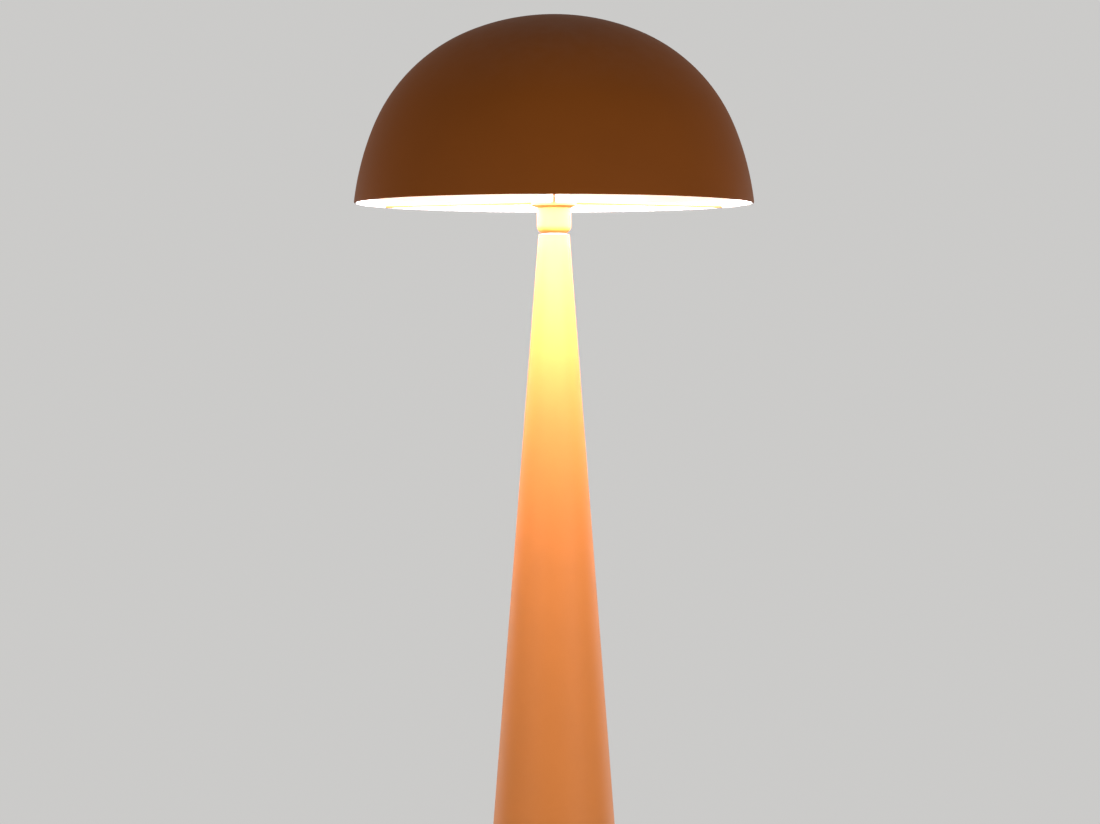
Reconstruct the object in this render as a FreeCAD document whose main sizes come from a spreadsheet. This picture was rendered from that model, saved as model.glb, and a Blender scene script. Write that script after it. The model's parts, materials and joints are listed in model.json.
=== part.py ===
import FreeCAD, Part
import ast
import math
import operator
import os
import re

import Sketcher

# Mushroom floor lamp, in millimetres. The origin is on the floor under the middle of the lamp,
# +Z is up, and the lamp is seen from -Y. It is a stack about the Z axis: felt pads, base plate,
# weight, conical column, lampholder cup, lampholder, shade carrier and dome. One threaded lamp tube
# runs through the stack and clamps it together. Each piece is drawn from its own seat, z = 0, and its
# Placement lifts that seat to its level in the stack.

SIZES = {
    # felt pads and base plate
    "pad_diameter": 24,
    "pad_thickness": 3,
    "pad_inset": 23,
    "pad_count": 4,
    "plate_thickness": 8,
    "ledge_height": 3,
    "recess_diameter": 30,
    "recess_depth": 5.4,
    # cast weight, and the countersunk screws that hold the plate to it
    "weight_height": 30,
    "weight_gap": 2,
    "weight_rounding": 3,
    "screw_inset": 48,
    "screw_count": 3,
    "screw_diameter": 8,
    "screw_head_diameter": 15,
    "screw_grip": 14,
    "screw_socket": 5,
    "screw_socket_depth": 2.6,
    # threaded lamp tube, its nuts and washers
    "tie_diameter": 10,
    "tie_bore": 7.6,
    "tie_end": 0.4,
    "bolt_gap": 0.25,
    "nut_across_flats": 14,
    "nut_height": 3.2,
    "base_washer_diameter": 24,
    "base_washer_thickness": 1.5,
    "cup_washer_diameter": 18,
    "cup_washer_thickness": 0.8,
    # conical column, and the cap on its top end
    "column_height": 1217.2,
    "column_foot_diameter": 226,
    "column_top_diameter": 38.6,
    "column_wall": 1.2,
    "fit_gap": 0.3,
    "cap_flange": 2,
    "cap_spigot": 14,
    "cap_lead_in": 1.5,
    "cap_rounding": 0.5,
    # grommet in the back of the column
    "inlet_height": 17,
    "inlet_bore": 6.8,
    "grommet_diameter": 16,
    "grommet_neck": 10.4,
    "grommet_flange": 2.4,
    "grommet_rounding": 1.2,
    "grommet_slack": 0.5,
    # terminal block and earth tag on the weight
    "block_width": 30,
    "block_depth": 20,
    "block_height": 16,
    "block_rounding": 1.5,
    "block_reach": 48,
    "block_screw_diameter": 3,
    "block_screw_head": 4.8,
    "block_screw_head_height": 2,
    "block_screw_grip": 8,
    "pole_pitch": 9.6,
    "pole_count": 3,
    "pole_height": 9,
    "insert_diameter": 5.2,
    "insert_bore": 3.4,
    "insert_length": 16,
    "pinch_diameter": 3.4,
    "earth_reach": 12,
    "earth_screw_diameter": 4,
    "earth_screw_head": 8,
    "earth_screw_head_height": 2.6,
    "earth_screw_grip": 9,
    "earth_tag_width": 9,
    "earth_tag_length": 18,
    "earth_tag_thickness": 0.8,
    "barrel_wall": 0.9,
    "barrel_length": 6,
    # lead through the tie tube, the two cores at its top and the earth wire at its foot
    "lead_diameter": 5.6,
    "lead_bend": 28,
    "lead_end": 2,
    "wire_diameter": 2.2,
    "core_bend": 2,
    "earth_wire_bend": 5,
    "earth_wire_run": 3,
    "slot_play": 0.7,
    "slot_end": 2.5,
    # neck spacer and lampholder cup
    "spacer_diameter": 30,
    "spacer_thickness": 1.5,
    "cup_gap": 0.4,
    "cup_height": 32.3,
    "cup_wall": 1,
    "cup_rounding": 9,
    # lampholder
    "boss_diameter": 17,
    "boss_height": 10,
    "holder_floor": 3,
    "holder_wall": 2.2,
    "holder_rounding": 5,
    "holder_shoulder": 12.5,
    "holder_rim": 21.5,
    "core_flange": 3,
    "core_depth": 6,
    "core_rise": 3.5,
    "skirt_shoulder": 2.8,
    "skirt_wall": 2.4,
    "skirt_length": 46,
    "skirt_rounding": 0.8,
    "shell_wall": 0.35,
    "shell_gap": 0.45,
    "shell_play": 0.5,
    "shell_length": 26.5,
    "strip_thickness": 0.6,
    "strip_width": 6,
    "strip_foot": 5,
    "strip_tip": 4,
    "strip_lean": 3.6,
    "contact_rise": 5,
    "terminal_circle": 18,
    "terminal_head": 5.5,
    "terminal_head_height": 2.4,
    "terminal_shank": 3,
    "terminal_grip": 4,
    # rings on the lampholder's thread
    "ring_width": 8.2,
    "ring_foot_width": 3.2,
    "ring_edge": 1.4,
    "ring_height": 4,
    "clamp_width": 3.2,
    "clamp_height": 7,
    "clamp_edge": 0.8,
    "grip_count": 16,
    "grip_radius": 2.5,
    "grip_depth": 1,
    "thread_gap": 0.08,
    # shade carrier
    "hub_width": 8.2,
    "hub_thickness": 2,
    "hub_gap": 0.3,
    "arm_diameter": 3.6,
    "arm_seat": 1,
    "arm_gap": 1,
    # dome shade
    "shade_diameter": 500,
    "shade_rise": 236,
    "shade_wall": 1.2,
    "hem_diameter": 3.6,
    "crown_radius": 281,
    "crown_angle": 22.5,
    "shoulder_angle": 68,
    "rim_slope": 6.7,
    # bulb
    "bulb_diameter": 60,
    "bulb_length": 108,
    "bulb_split": 62,
    "globe_wall": 1,
    "collar_step": 0.8,
    "collar_neck_diameter": 28.4,
    "collar_neck": 8,
    "collar_lip": 5,
    "collar_rounding": 12,
    "bulb_cap_diameter": 26.6,
    "bulb_cap_length": 26,
    "bulb_cap_wall": 0.5,
    "insulator_height": 6,
    "insulator_seat": 2,
    "tip_diameter": 9.6,
    "tip_height": 1.6,
}

OPERATIONS = {ast.Add: operator.add, ast.Sub: operator.sub,
              ast.Mult: operator.mul, ast.Div: operator.truediv}

doc = FreeCAD.newDocument("mushroom_floor_lamp")
sheet = doc.addObject("Spreadsheet::Sheet", "Sizes")
for row, (alias, size) in enumerate(SIZES.items(), start=1):
    sheet.set(f"A{row}", alias)
    sheet.set(f"B{row}", str(size))
    sheet.setAlias(f"B{row}", alias)
doc.recompute()


# ---- formulas ----

def worked_out(term):
    """Work out one branch of a formula: two branches joined, a square root, a named size or a number."""
    if isinstance(term, ast.BinOp):
        return OPERATIONS[type(term.op)](worked_out(term.left), worked_out(term.right))
    if isinstance(term, ast.UnaryOp):
        return -worked_out(term.operand)
    if isinstance(term, ast.Call):
        return math.sqrt(worked_out(term.args[0]))
    if isinstance(term, ast.Name):
        return float(SIZES[term.id])
    return float(term.value)


def value(formula):
    """The number that a formula of named sizes comes to."""
    return worked_out(ast.parse(formula).body[0].value)


def bound(formula):
    """The same formula as an expression on the sheet's cells."""
    return re.sub(r"[a-z]\w+(?![\w(])", r"Sizes.\g<0>", formula)


def column_radius(height):
    """The column's outer radius at a height above its foot."""
    return (f"column_foot_diameter / 2 - (column_foot_diameter - column_top_diameter) / 2"
            f" * ({height}) / column_height")


# ---- sketches and features ----

def new_body(name, level="0", turn=0, about=(0, 0, 1)):
    """Start a piece whose seat is at a level of the stack, turned by degrees about an axis."""
    body = doc.addObject("PartDesign::Body", name)
    body.Label = name
    body.Placement = FreeCAD.Placement(FreeCAD.Vector(), FreeCAD.Rotation(FreeCAD.Vector(*about), turn))
    body.setExpression("Placement.Base.z", bound(level))
    return body


def origin_feature(body, role):
    """One of the body's own origin planes or axes."""
    return next(feature for feature in body.Origin.OriginFeatures if feature.Role == role)


def new_sketch(body, name, plane="XZ_Plane", lift="0"):
    """Start a sketch on an origin plane of the body, lifted along the plane's normal."""
    sketch = body.newObject("Sketcher::SketchObject", f"{body.Name}_{name}")
    sketch.AttachmentSupport = (origin_feature(body, plane), [""])
    sketch.MapMode = "FlatFace"
    if lift != "0":
        sketch.setExpression("AttachmentOffset.Base.z", bound(lift))
    return sketch


def dimension(sketch, kind, *references, formula):
    """Add one dimension and bind it to its formula."""
    drawn = math.radians(value(formula)) if kind == "Angle" else value(formula)
    index = sketch.addConstraint(Sketcher.Constraint(kind, *references, drawn))
    sketch.setExpression(f"Constraints[{index}]", bound(formula))


def hold(sketch, geometry, point, across, up):
    """Place one point of a sketch by its two distances from the origin."""
    for kind, axis, formula in (("DistanceX", -2, across), ("DistanceY", -1, up)):
        if formula == "0":
            sketch.addConstraint(Sketcher.Constraint("PointOnObject", geometry, point, axis))
        else:
            dimension(sketch, kind, -1, 1, geometry, point, formula=formula)


def join(sketch, kind, first, first_end, second, second_end):
    """Make two ends meet: Coincident at a corner, Tangent where one runs on into the other."""
    sketch.addConstraint(Sketcher.Constraint(kind, first, first_end, second, second_end))


def end_at(sketch, geometry, spot):
    """Which end of an arc, 1 or 2, lies at the spot."""
    return min((1, 2), key=lambda end: sketch.getPoint(geometry, end).distanceToPoint(spot))


def line(sketch, start, stop, construction=False):
    return sketch.addGeometry(Part.LineSegment(start, stop), construction)


def arc(sketch, centre, radius, start, stop):
    """Draw an arc anticlockwise from one angle to another, in degrees."""
    whole = Part.Circle(FreeCAD.Vector(*centre, 0), FreeCAD.Vector(0, 0, 1), radius)
    return sketch.addGeometry(Part.ArcOfCircle(whole, math.radians(start), math.radians(stop)))


def outline(sketch, corners, closed=True):
    """Draw straight edges through the corners, each (across, up) or (across, up, rounding)."""
    spots = [FreeCAD.Vector(value(corner[0]), value(corner[1]), 0) for corner in corners]
    count = len(spots)
    stops, starts, arcs = list(spots), list(spots), {}
    for i, corner in enumerate(corners):
        if len(corner) == 3:
            back = (spots[i - 1] - spots[i]).normalize()
            onward = (spots[(i + 1) % count] - spots[i]).normalize()
            half_corner = back.getAngle(onward) / 2
            radius = value(corner[2])
            stops[i] = spots[i] + back * (radius / math.tan(half_corner))
            starts[i] = spots[i] + onward * (radius / math.tan(half_corner))
            middle = spots[i] + (back + onward).normalize() * (radius / math.sin(half_corner) - radius)
            arcs[i] = sketch.addGeometry(Part.Arc(stops[i], middle, starts[i]))
    edges = [line(sketch, starts[i], stops[(i + 1) % count]) for i in range(count if closed else count - 1)]
    for i, corner in enumerate(corners):
        if i in arcs:
            join(sketch, "Tangent", edges[i - 1], 2, arcs[i], end_at(sketch, arcs[i], stops[i]))
            join(sketch, "Tangent", arcs[i], end_at(sketch, arcs[i], starts[i]), edges[i], 1)
            dimension(sketch, "Radius", arcs[i], formula=corner[2])
            point = sketch.addGeometry(Part.Point(spots[i]), True)
            for edge in (edges[i - 1], edges[i]):
                sketch.addConstraint(Sketcher.Constraint("PointOnObject", point, 1, edge))
            hold(sketch, point, 1, corner[0], corner[1])
        elif i == len(edges):
            hold(sketch, edges[i - 1], 2, corner[0], corner[1])
        else:
            hold(sketch, edges[i], 1, corner[0], corner[1])
            if closed or i > 0:
                join(sketch, "Coincident", edges[i - 1], 2, edges[i], 1)


def circle(sketch, diameter, across="0", up="0"):
    """Draw a circle of a diameter about a placed centre."""
    centre = FreeCAD.Vector(value(across), value(up), 0)
    drawn = sketch.addGeometry(Part.Circle(centre, FreeCAD.Vector(0, 0, 1), value(diameter) / 2))
    dimension(sketch, "Diameter", drawn, formula=diameter)
    hold(sketch, drawn, 3, across, up)


def hexagon(sketch, across_flats, across="0"):
    """Draw a regular hexagon of a width across flats, two of its flats square to the sketch's X axis."""
    centre = FreeCAD.Vector(value(across), 0, 0)
    reach = value(across_flats) / 2 / math.cos(math.radians(30))
    ring = sketch.addGeometry(Part.Circle(centre, FreeCAD.Vector(0, 0, 1), reach), True)
    turns = [math.radians(angle) for angle in range(-30, 330, 60)]
    spots = [centre + FreeCAD.Vector(math.cos(turn), math.sin(turn), 0) * reach for turn in turns]
    edges = [line(sketch, spots[i], spots[(i + 1) % 6]) for i in range(6)]
    hold(sketch, ring, 3, across, "0")
    for i in range(6):
        join(sketch, "Coincident", edges[i - 1], 2, edges[i], 1)
        sketch.addConstraint(Sketcher.Constraint("PointOnObject", edges[i], 1, ring))
    for i in range(1, 6):
        sketch.addConstraint(Sketcher.Constraint("Equal", edges[0], edges[i]))
    sketch.addConstraint(Sketcher.Constraint("Vertical", edges[0]))
    dimension(sketch, "DistanceX", ring, 3, edges[0], 1, formula=f"{across_flats} / 2")


def centre_line(sketch, across, top):
    """Draw an upright centre line to turn a feature about, as the sketch's first construction line."""
    drawn = line(sketch, FreeCAD.Vector(value(across), 0, 0),
                 FreeCAD.Vector(value(across), value(top), 0), construction=True)
    hold(sketch, drawn, 1, across, "0")
    hold(sketch, drawn, 2, across, top)


def revolve(body, sketch, axis="V_Axis", kind="PartDesign::Revolution"):
    """Turn a half outline about one of the sketch's axes, to add or, with a Groove, to cut."""
    turned = body.newObject(kind, f"{sketch.Name}_Turned")
    turned.Profile = sketch
    turned.ReferenceAxis = (sketch, [axis])
    turned.Angle = 360
    return turned


def pad(body, sketch, length, midplane=False, back=False):
    """Raise a sketch by a length, or to both sides of its plane, or behind it."""
    raised = body.newObject("PartDesign::Pad", f"{sketch.Name}_Pad")
    raised.Profile = sketch
    raised.setExpression("Length", bound(length))
    raised.Midplane = midplane
    raised.Reversed = back
    return raised


def pocket(body, sketch, depth=None, ahead=False):
    """Cut a sketch into the piece, behind its plane or ahead of it, to a depth or right through."""
    cut = body.newObject("PartDesign::Pocket", f"{sketch.Name}_Pocket")
    cut.Profile = sketch
    cut.Reversed = ahead
    if depth:
        cut.setExpression("Length", bound(depth))
    else:
        cut.Type = "ThroughAll"
    return cut


def around(body, features, count):
    """Repeat features evenly about the body's Z axis."""
    ring = body.newObject("PartDesign::PolarPattern", f"{features[0].Name}_Ring")
    ring.Originals = features
    ring.Axis = (origin_feature(body, "Z_Axis"), [""])
    ring.Angle = 360
    ring.setExpression("Occurrences", bound(count))
    body.Tip = ring


def in_line(body, feature, span, count):
    """Repeat a feature along the body's X axis over a span."""
    row_of = body.newObject("PartDesign::LinearPattern", f"{feature.Name}_Row")
    row_of.Originals = [feature]
    row_of.Direction = (origin_feature(body, "X_Axis"), [""])
    row_of.setExpression("Length", bound(span))
    row_of.setExpression("Occurrences", bound(count))
    body.Tip = row_of


def turned_piece(name, level, corners):
    """A piece turned about the lamp's axis from its half outline."""
    body = new_body(name, level)
    sketch = new_sketch(body, "Half")
    outline(sketch, corners)
    revolve(body, sketch)
    return body


def flat_ring(name, level, outer, inner, thickness, turn=0):
    """A flat ring on its seat, such as a washer, or a tube when it is tall."""
    body = new_body(name, level, turn)
    sketch = new_sketch(body, "Ring", "XY_Plane")
    circle(sketch, outer)
    circle(sketch, inner)
    pad(body, sketch, thickness)
    return body


def screws(name, level, spots, head, head_height, shank, grip, head_down=False):
    """Straight-sided screws: head and shank meet at the body's seat, at each spot."""
    body = new_body(name, level)
    for part, diameter, length, back in (("Head", head, head_height, head_down),
                                         ("Shank", shank, grip, not head_down)):
        sketch = new_sketch(body, part, "XY_Plane")
        for across, up in spots:
            circle(sketch, diameter, across, up)
        pad(body, sketch, length, back=back)


def wire(name, level, plane, beside, route, section_plane, start, centre, diameter):
    """A round wire: straight runs joined by tangent arcs, from a section at the route's first point."""
    body = new_body(name, level)
    path = new_sketch(body, "Path", plane, beside)
    outline(path, route, closed=False)
    section = new_sketch(body, "Section", section_plane, start)
    circle(section, diameter, *centre)
    pipe = body.newObject("PartDesign::AdditivePipe", f"{name}_Pipe")
    pipe.Profile = section
    pipe.Spine = path
    wires.append((body, path, diameter, [corner[2] for corner in route if len(corner) == 3]))
    return body, pipe


# ---- levels of the stack, from the floor up ----

PLATE = "pad_thickness"
COLUMN = f"{PLATE} + ledge_height"
WEIGHT = f"{PLATE} + plate_thickness"
WEIGHT_TOP = f"{WEIGHT} + weight_height"
INLET = f"{WEIGHT_TOP} + inlet_height"
COLUMN_CAP = f"{COLUMN} + column_height"
SPACER = f"{COLUMN_CAP} + cap_flange"
CUP = f"{SPACER} + spacer_thickness"
CUP_NUT = f"{CUP} + cup_wall + cup_washer_thickness"
HOLDER = f"{CUP_NUT} + nut_height"
CORE = f"{HOLDER} + holder_rim"
CORE_TOP = f"{CORE} + core_flange + core_rise"
BULB = f"{CORE_TOP} + contact_rise"
SEAT_RING = f"{CUP} + cup_height"
HUB = f"{SEAT_RING} + ring_height"
HUB_TOP = f"{HUB} + hub_thickness"
ARM_AXIS = f"{HUB_TOP} - arm_seat + arm_diameter / 2"
RIM = f"{ARM_AXIS} - hem_diameter / 2"
BASE_WASHER = f"{PLATE} + recess_depth - base_washer_thickness"
BASE_NUT = f"{BASE_WASHER} - nut_height"
TIE_FOOT = f"{BASE_NUT} - tie_end"
TIE_TOP = f"{HOLDER} + boss_height"
LEAD_TOP = f"{TIE_TOP} + lead_end"
LEAD_IN_TUBE = f"{WEIGHT_TOP} + pole_height - ({TIE_FOOT})"

# ---- radii and places that several pieces share ----

TIE_HOLE = "tie_diameter / 2 + bolt_gap"
SCREW_HOLE = "screw_diameter / 2 + bolt_gap"
SCREW_AXIS = "column_foot_diameter / 2 - screw_inset"
SHELL_BORE = "bulb_cap_diameter / 2 + shell_gap"
COLLAR_BORE = f"{SHELL_BORE} + shell_wall + shell_play"
SKIRT_BORE = f"{COLLAR_BORE} + skirt_shoulder"
SKIRT_RADIUS = f"{SKIRT_BORE} + skirt_wall"
CUP_RADIUS = f"{SKIRT_RADIUS} + cup_gap + cup_wall"
CLAMP_RADIUS = f"{SKIRT_RADIUS} + clamp_width"
HEM_REACH = "shade_diameter / 2 - hem_diameter / 2"
BLOCK_FACE = "block_reach - block_depth / 2"
BLOCK_SCREWS = [(f"{side}pole_pitch / 2", "block_reach") for side in ("-", "")]
EARTH_SCREW = [("pole_pitch", "earth_reach")]
BARREL_AXIS = "barrel_wall + wire_diameter / 2"
BARREL_END = "earth_reach + earth_tag_length - earth_tag_width / 2"
TERMINALS = [(f"{side}terminal_circle / 2", "0") for side in ("-", "")]
FIRST_POLE = "-pole_pitch * (pole_count - 1) / 2"
POLE_SPAN = "pole_pitch * (pole_count - 1)"
GLOBE_MIDDLE = "bulb_length - bulb_diameter / 2"
GLOBE_DROP = f"({GLOBE_MIDDLE} - bulb_split)"
GLOBE_MOUTH = f"sqrt(bulb_diameter * bulb_diameter / 4 - {GLOBE_DROP} * {GLOBE_DROP})"
ARMS = {"spider_arm_front": -90, "spider_arm_right": 30, "spider_arm_left": 150}

wires = []


# ---- foot ----

def felt_pads():
    body = new_body("felt_pads", turn=45)
    sketch = new_sketch(body, "Pad", "XY_Plane")
    circle(sketch, "pad_diameter", "column_foot_diameter / 2 - pad_inset")
    around(body, [pad(body, sketch, "pad_thickness")], "pad_count")


def base_plate():
    """A steel disc: its ledge carries the column, its step centres it, a recess takes the tie nut."""
    step = "(column_wall + fit_gap)"
    body = turned_piece("base_plate", PLATE, [
        (TIE_HOLE, "recess_depth"),
        ("recess_diameter / 2", "recess_depth"),
        ("recess_diameter / 2", "0"),
        (column_radius("0"), "0"),
        (column_radius("0"), "ledge_height"),
        (f"{column_radius('0')} - {step}", "ledge_height"),
        (f"{column_radius('plate_thickness - ledge_height')} - {step}", "plate_thickness"),
        (TIE_HOLE, "plate_thickness"),
    ])
    sink = new_sketch(body, "ScrewHole")
    centre_line(sink, SCREW_AXIS, "plate_thickness")
    outline(sink, [
        (SCREW_AXIS, "0"),
        (f"{SCREW_AXIS} + screw_head_diameter / 2", "0"),
        (f"{SCREW_AXIS} + {SCREW_HOLE}", f"screw_head_diameter / 2 - ({SCREW_HOLE})"),
        (f"{SCREW_AXIS} + {SCREW_HOLE}", "plate_thickness"),
        (SCREW_AXIS, "plate_thickness"),
    ])
    around(body, [revolve(body, sink, "Axis0", "PartDesign::Groove")], "screw_count")


def weight():
    """The cast weight, clear of the column's wall, tapped for the screws under it and on it."""
    foot = "plate_thickness - ledge_height"
    side = "(column_wall + weight_gap)"
    body = turned_piece("weight", WEIGHT, [
        (TIE_HOLE, "0"),
        (f"{column_radius(foot)} - {side}", "0"),
        (f"{column_radius(foot + ' + weight_height')} - {side}", "weight_height", "weight_rounding"),
        (TIE_HOLE, "weight_height"),
    ])
    tapped = new_sketch(body, "PlateScrew", "XY_Plane")
    circle(tapped, "screw_diameter", SCREW_AXIS)
    around(body, [pocket(body, tapped, "screw_grip + bolt_gap", ahead=True)], "screw_count")
    for name, spots, diameter, grip in (
            ("EarthScrew", EARTH_SCREW, "earth_screw_diameter", "earth_screw_grip"),
            ("BlockScrew", BLOCK_SCREWS, "block_screw_diameter", "block_screw_grip")):
        sketch = new_sketch(body, name, "XY_Plane", "weight_height")
        for across, up in spots:
            circle(sketch, diameter, across, up)
        pocket(body, sketch, f"{grip} + bolt_gap")


def weight_screws():
    """Countersunk screws up through the plate into the weight, with hexagon sockets."""
    body = new_body("weight_screws", PLATE)
    sketch = new_sketch(body, "Half")
    centre_line(sketch, SCREW_AXIS, "plate_thickness + screw_grip")
    outline(sketch, [
        (SCREW_AXIS, "0"),
        (f"{SCREW_AXIS} + screw_head_diameter / 2", "0"),
        (f"{SCREW_AXIS} + screw_diameter / 2", "screw_head_diameter / 2 - screw_diameter / 2"),
        (f"{SCREW_AXIS} + screw_diameter / 2", "plate_thickness + screw_grip"),
        (SCREW_AXIS, "plate_thickness + screw_grip"),
    ])
    turned = revolve(body, sketch, "Axis0")
    socket = new_sketch(body, "Socket", "XY_Plane")
    hexagon(socket, "screw_socket", SCREW_AXIS)
    around(body, [turned, pocket(body, socket, "screw_socket_depth", ahead=True)], "screw_count")


# ---- tie tube and what it clamps ----

def tie_tube():
    """The threaded lamp tube, with a slot near its foot where the lead comes out to the back."""
    body = flat_ring("tie_tube", TIE_FOOT, "tie_diameter", "tie_bore", f"{TIE_TOP} - ({TIE_FOOT})")
    slot = new_sketch(body, "LeadSlot")
    half = "lead_diameter / 2 + slot_play"
    low = f"{LEAD_IN_TUBE} - lead_diameter / 2 - slot_end"
    high = f"{LEAD_IN_TUBE} + lead_bend"
    outline(slot, [(f"-({half})", low, "slot_end"), (half, low, "slot_end"),
                   (half, high, "slot_end"), (f"-({half})", high, "slot_end")])
    pocket(body, slot)


def hex_nut(name, level):
    body = new_body(name, level)
    sketch = new_sketch(body, "Hexagon", "XY_Plane")
    hexagon(sketch, "nut_across_flats")
    circle(sketch, "tie_diameter")
    pad(body, sketch, "nut_height")


def nuts_and_washers():
    hex_nut("base_nut", BASE_NUT)
    hex_nut("cup_nut", CUP_NUT)
    flat_ring("base_washer", BASE_WASHER, "base_washer_diameter", f"2 * ({TIE_HOLE})",
              "base_washer_thickness")
    flat_ring("cup_washer", f"{CUP} + cup_wall", "cup_washer_diameter", f"2 * ({TIE_HOLE})",
              "cup_washer_thickness")


# ---- column ----

def column_shell():
    """The rolled cone, with a hole for the grommet low in its back."""
    body = turned_piece("column_shell", COLUMN, [
        (f"{column_radius('0')} - column_wall", "0"),
        (column_radius("0"), "0"),
        (column_radius("column_height"), "column_height"),
        (f"{column_radius('column_height')} - column_wall", "column_height"),
    ])
    hole = new_sketch(body, "GrommetHole")
    circle(hole, "grommet_neck + 2 * fit_gap", up=f"{INLET} - ({COLUMN})")
    pocket(body, hole)


def column_cap():
    """A turned cap: its flange goes on with the cone's taper, its spigot centres it in the cone."""
    inside = "(column_wall + fit_gap)"
    turned_piece("column_cap", COLUMN_CAP, [
        (TIE_HOLE, "-cap_spigot"),
        (f"{column_radius('column_height')} - {inside} - cap_lead_in", "-cap_spigot"),
        (f"{column_radius('column_height')} - {inside}", "cap_lead_in - cap_spigot"),
        (f"{column_radius('column_height')} - {inside}", "0"),
        (column_radius("column_height"), "0"),
        (column_radius("column_height + cap_flange"), "cap_flange", "cap_rounding"),
        (TIE_HOLE, "cap_flange"),
    ])


def cable_grommet():
    """The rubber ring in the grommet hole, square to the sloping wall."""
    taper = math.atan2(value("column_foot_diameter - column_top_diameter") / 2, value("column_height"))
    body = new_body("cable_grommet", INLET, turn=math.degrees(taper) - 90, about=(1, 0, 0))
    body.setExpression("Placement.Base.y", bound(column_radius(f"{INLET} - ({COLUMN})")))
    groove = "-(column_wall + grommet_slack)"
    sketch = new_sketch(body, "Half")
    outline(sketch, [
        ("inlet_bore / 2", f"{groove} - grommet_flange"),
        ("grommet_diameter / 2", f"{groove} - grommet_flange", "grommet_rounding"),
        ("grommet_diameter / 2", groove),
        ("grommet_neck / 2", groove),
        ("grommet_neck / 2", "0"),
        ("grommet_diameter / 2", "0"),
        ("grommet_diameter / 2", "grommet_flange", "grommet_rounding"),
        ("inlet_bore / 2", "grommet_flange"),
    ])
    revolve(body, sketch)


# ---- wiring ----

def terminal_block():
    """A three-pole strip: wire holes along Y, two screw wells over each, fixing holes between them."""
    body = new_body("terminal_block", WEIGHT_TOP)
    sketch = new_sketch(body, "Block", "XY_Plane")
    outline(sketch, [(f"{side}block_width / 2", f"block_reach {end} block_depth / 2", "block_rounding")
                     for side, end in (("-", "-"), ("", "-"), ("", "+"), ("-", "+"))])
    pad(body, sketch, "block_height")
    poles = new_sketch(body, "WireHole", "XZ_Plane", f"-({BLOCK_FACE})")
    circle(poles, "insert_diameter", FIRST_POLE, "pole_height")
    in_line(body, pocket(body, poles, "block_depth"), POLE_SPAN, "pole_count")
    wells = new_sketch(body, "ScrewWell", "XY_Plane", "block_height")
    for side in ("-", "+"):
        circle(wells, "pinch_diameter", FIRST_POLE, f"block_reach {side} block_depth / 4")
    in_line(body, pocket(body, wells, "block_height - pole_height"), POLE_SPAN, "pole_count")
    fixing = new_sketch(body, "Fixing", "XY_Plane", "block_height")
    for across, up in BLOCK_SCREWS:
        circle(fixing, "block_screw_diameter", across, up)
    pocket(body, fixing, "block_height")


def terminal_inserts():
    """A brass sleeve in each pole of the terminal block."""
    body = new_body("terminal_inserts", WEIGHT_TOP)
    sketch = new_sketch(body, "Sleeve", "XZ_Plane", "-block_reach")
    circle(sketch, "insert_diameter", FIRST_POLE, "pole_height")
    circle(sketch, "insert_bore", FIRST_POLE, "pole_height")
    in_line(body, pad(body, sketch, "insert_length", midplane=True), POLE_SPAN, "pole_count")


def earth_tag():
    """A flat tag under the earth screw, with a crimped barrel at the end of its tongue."""
    body = new_body("earth_tag", WEIGHT_TOP)
    sketch = new_sketch(body, "Tag", "XY_Plane")
    tongue, eye = "earth_tag_width / 4", "earth_tag_width / 2"
    outline(sketch, [
        (f"pole_pitch - {tongue}", BARREL_END),
        (f"pole_pitch - {tongue}", f"earth_reach + {eye}"),
        (f"pole_pitch - {eye}", f"earth_reach + {eye}"),
        (f"pole_pitch - {eye}", f"earth_reach - {eye}", "earth_tag_width / 3"),
        (f"pole_pitch + {eye}", f"earth_reach - {eye}", "earth_tag_width / 3"),
        (f"pole_pitch + {eye}", f"earth_reach + {eye}"),
        (f"pole_pitch + {tongue}", f"earth_reach + {eye}"),
        (f"pole_pitch + {tongue}", BARREL_END),
    ])
    circle(sketch, "earth_screw_diameter + 2 * bolt_gap", *EARTH_SCREW[0])
    pad(body, sketch, "earth_tag_thickness")
    barrel = new_sketch(body, "Barrel", "XZ_Plane", f"-({BARREL_END})")
    circle(barrel, "wire_diameter + 2 * barrel_wall", "pole_pitch", BARREL_AXIS)
    pad(body, barrel, "barrel_length")
    bore = new_sketch(body, "BarrelBore", "XZ_Plane", f"-({BARREL_END})")
    circle(bore, "wire_diameter", "pole_pitch", BARREL_AXIS)
    pocket(body, bore, "barrel_length", ahead=True)


def wiring_screws():
    screws("block_screws", f"{WEIGHT_TOP} + block_height", BLOCK_SCREWS, "block_screw_head",
           "block_screw_head_height", "block_screw_diameter", "block_height + block_screw_grip")
    screws("earth_screw", f"{WEIGHT_TOP} + earth_tag_thickness", EARTH_SCREW, "earth_screw_head",
           "earth_screw_head_height", "earth_screw_diameter", "earth_tag_thickness + earth_screw_grip")
    screws("terminal_screws", f"{CORE} - core_depth", TERMINALS, "terminal_head", "terminal_head_height",
           "terminal_shank", "terminal_grip", head_down=True)


def inner_lead():
    """The lead from the terminal block into the tie tube and up it to the lampholder."""
    top = f"{LEAD_TOP} - ({WEIGHT_TOP})"
    wire("inner_lead", WEIGHT_TOP, "YZ_Plane", "0",
         [("0", top), ("0", "pole_height", "lead_bend"), (BLOCK_FACE, "pole_height")],
         "XY_Plane", top, ("0", "0"), "lead_diameter")


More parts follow.
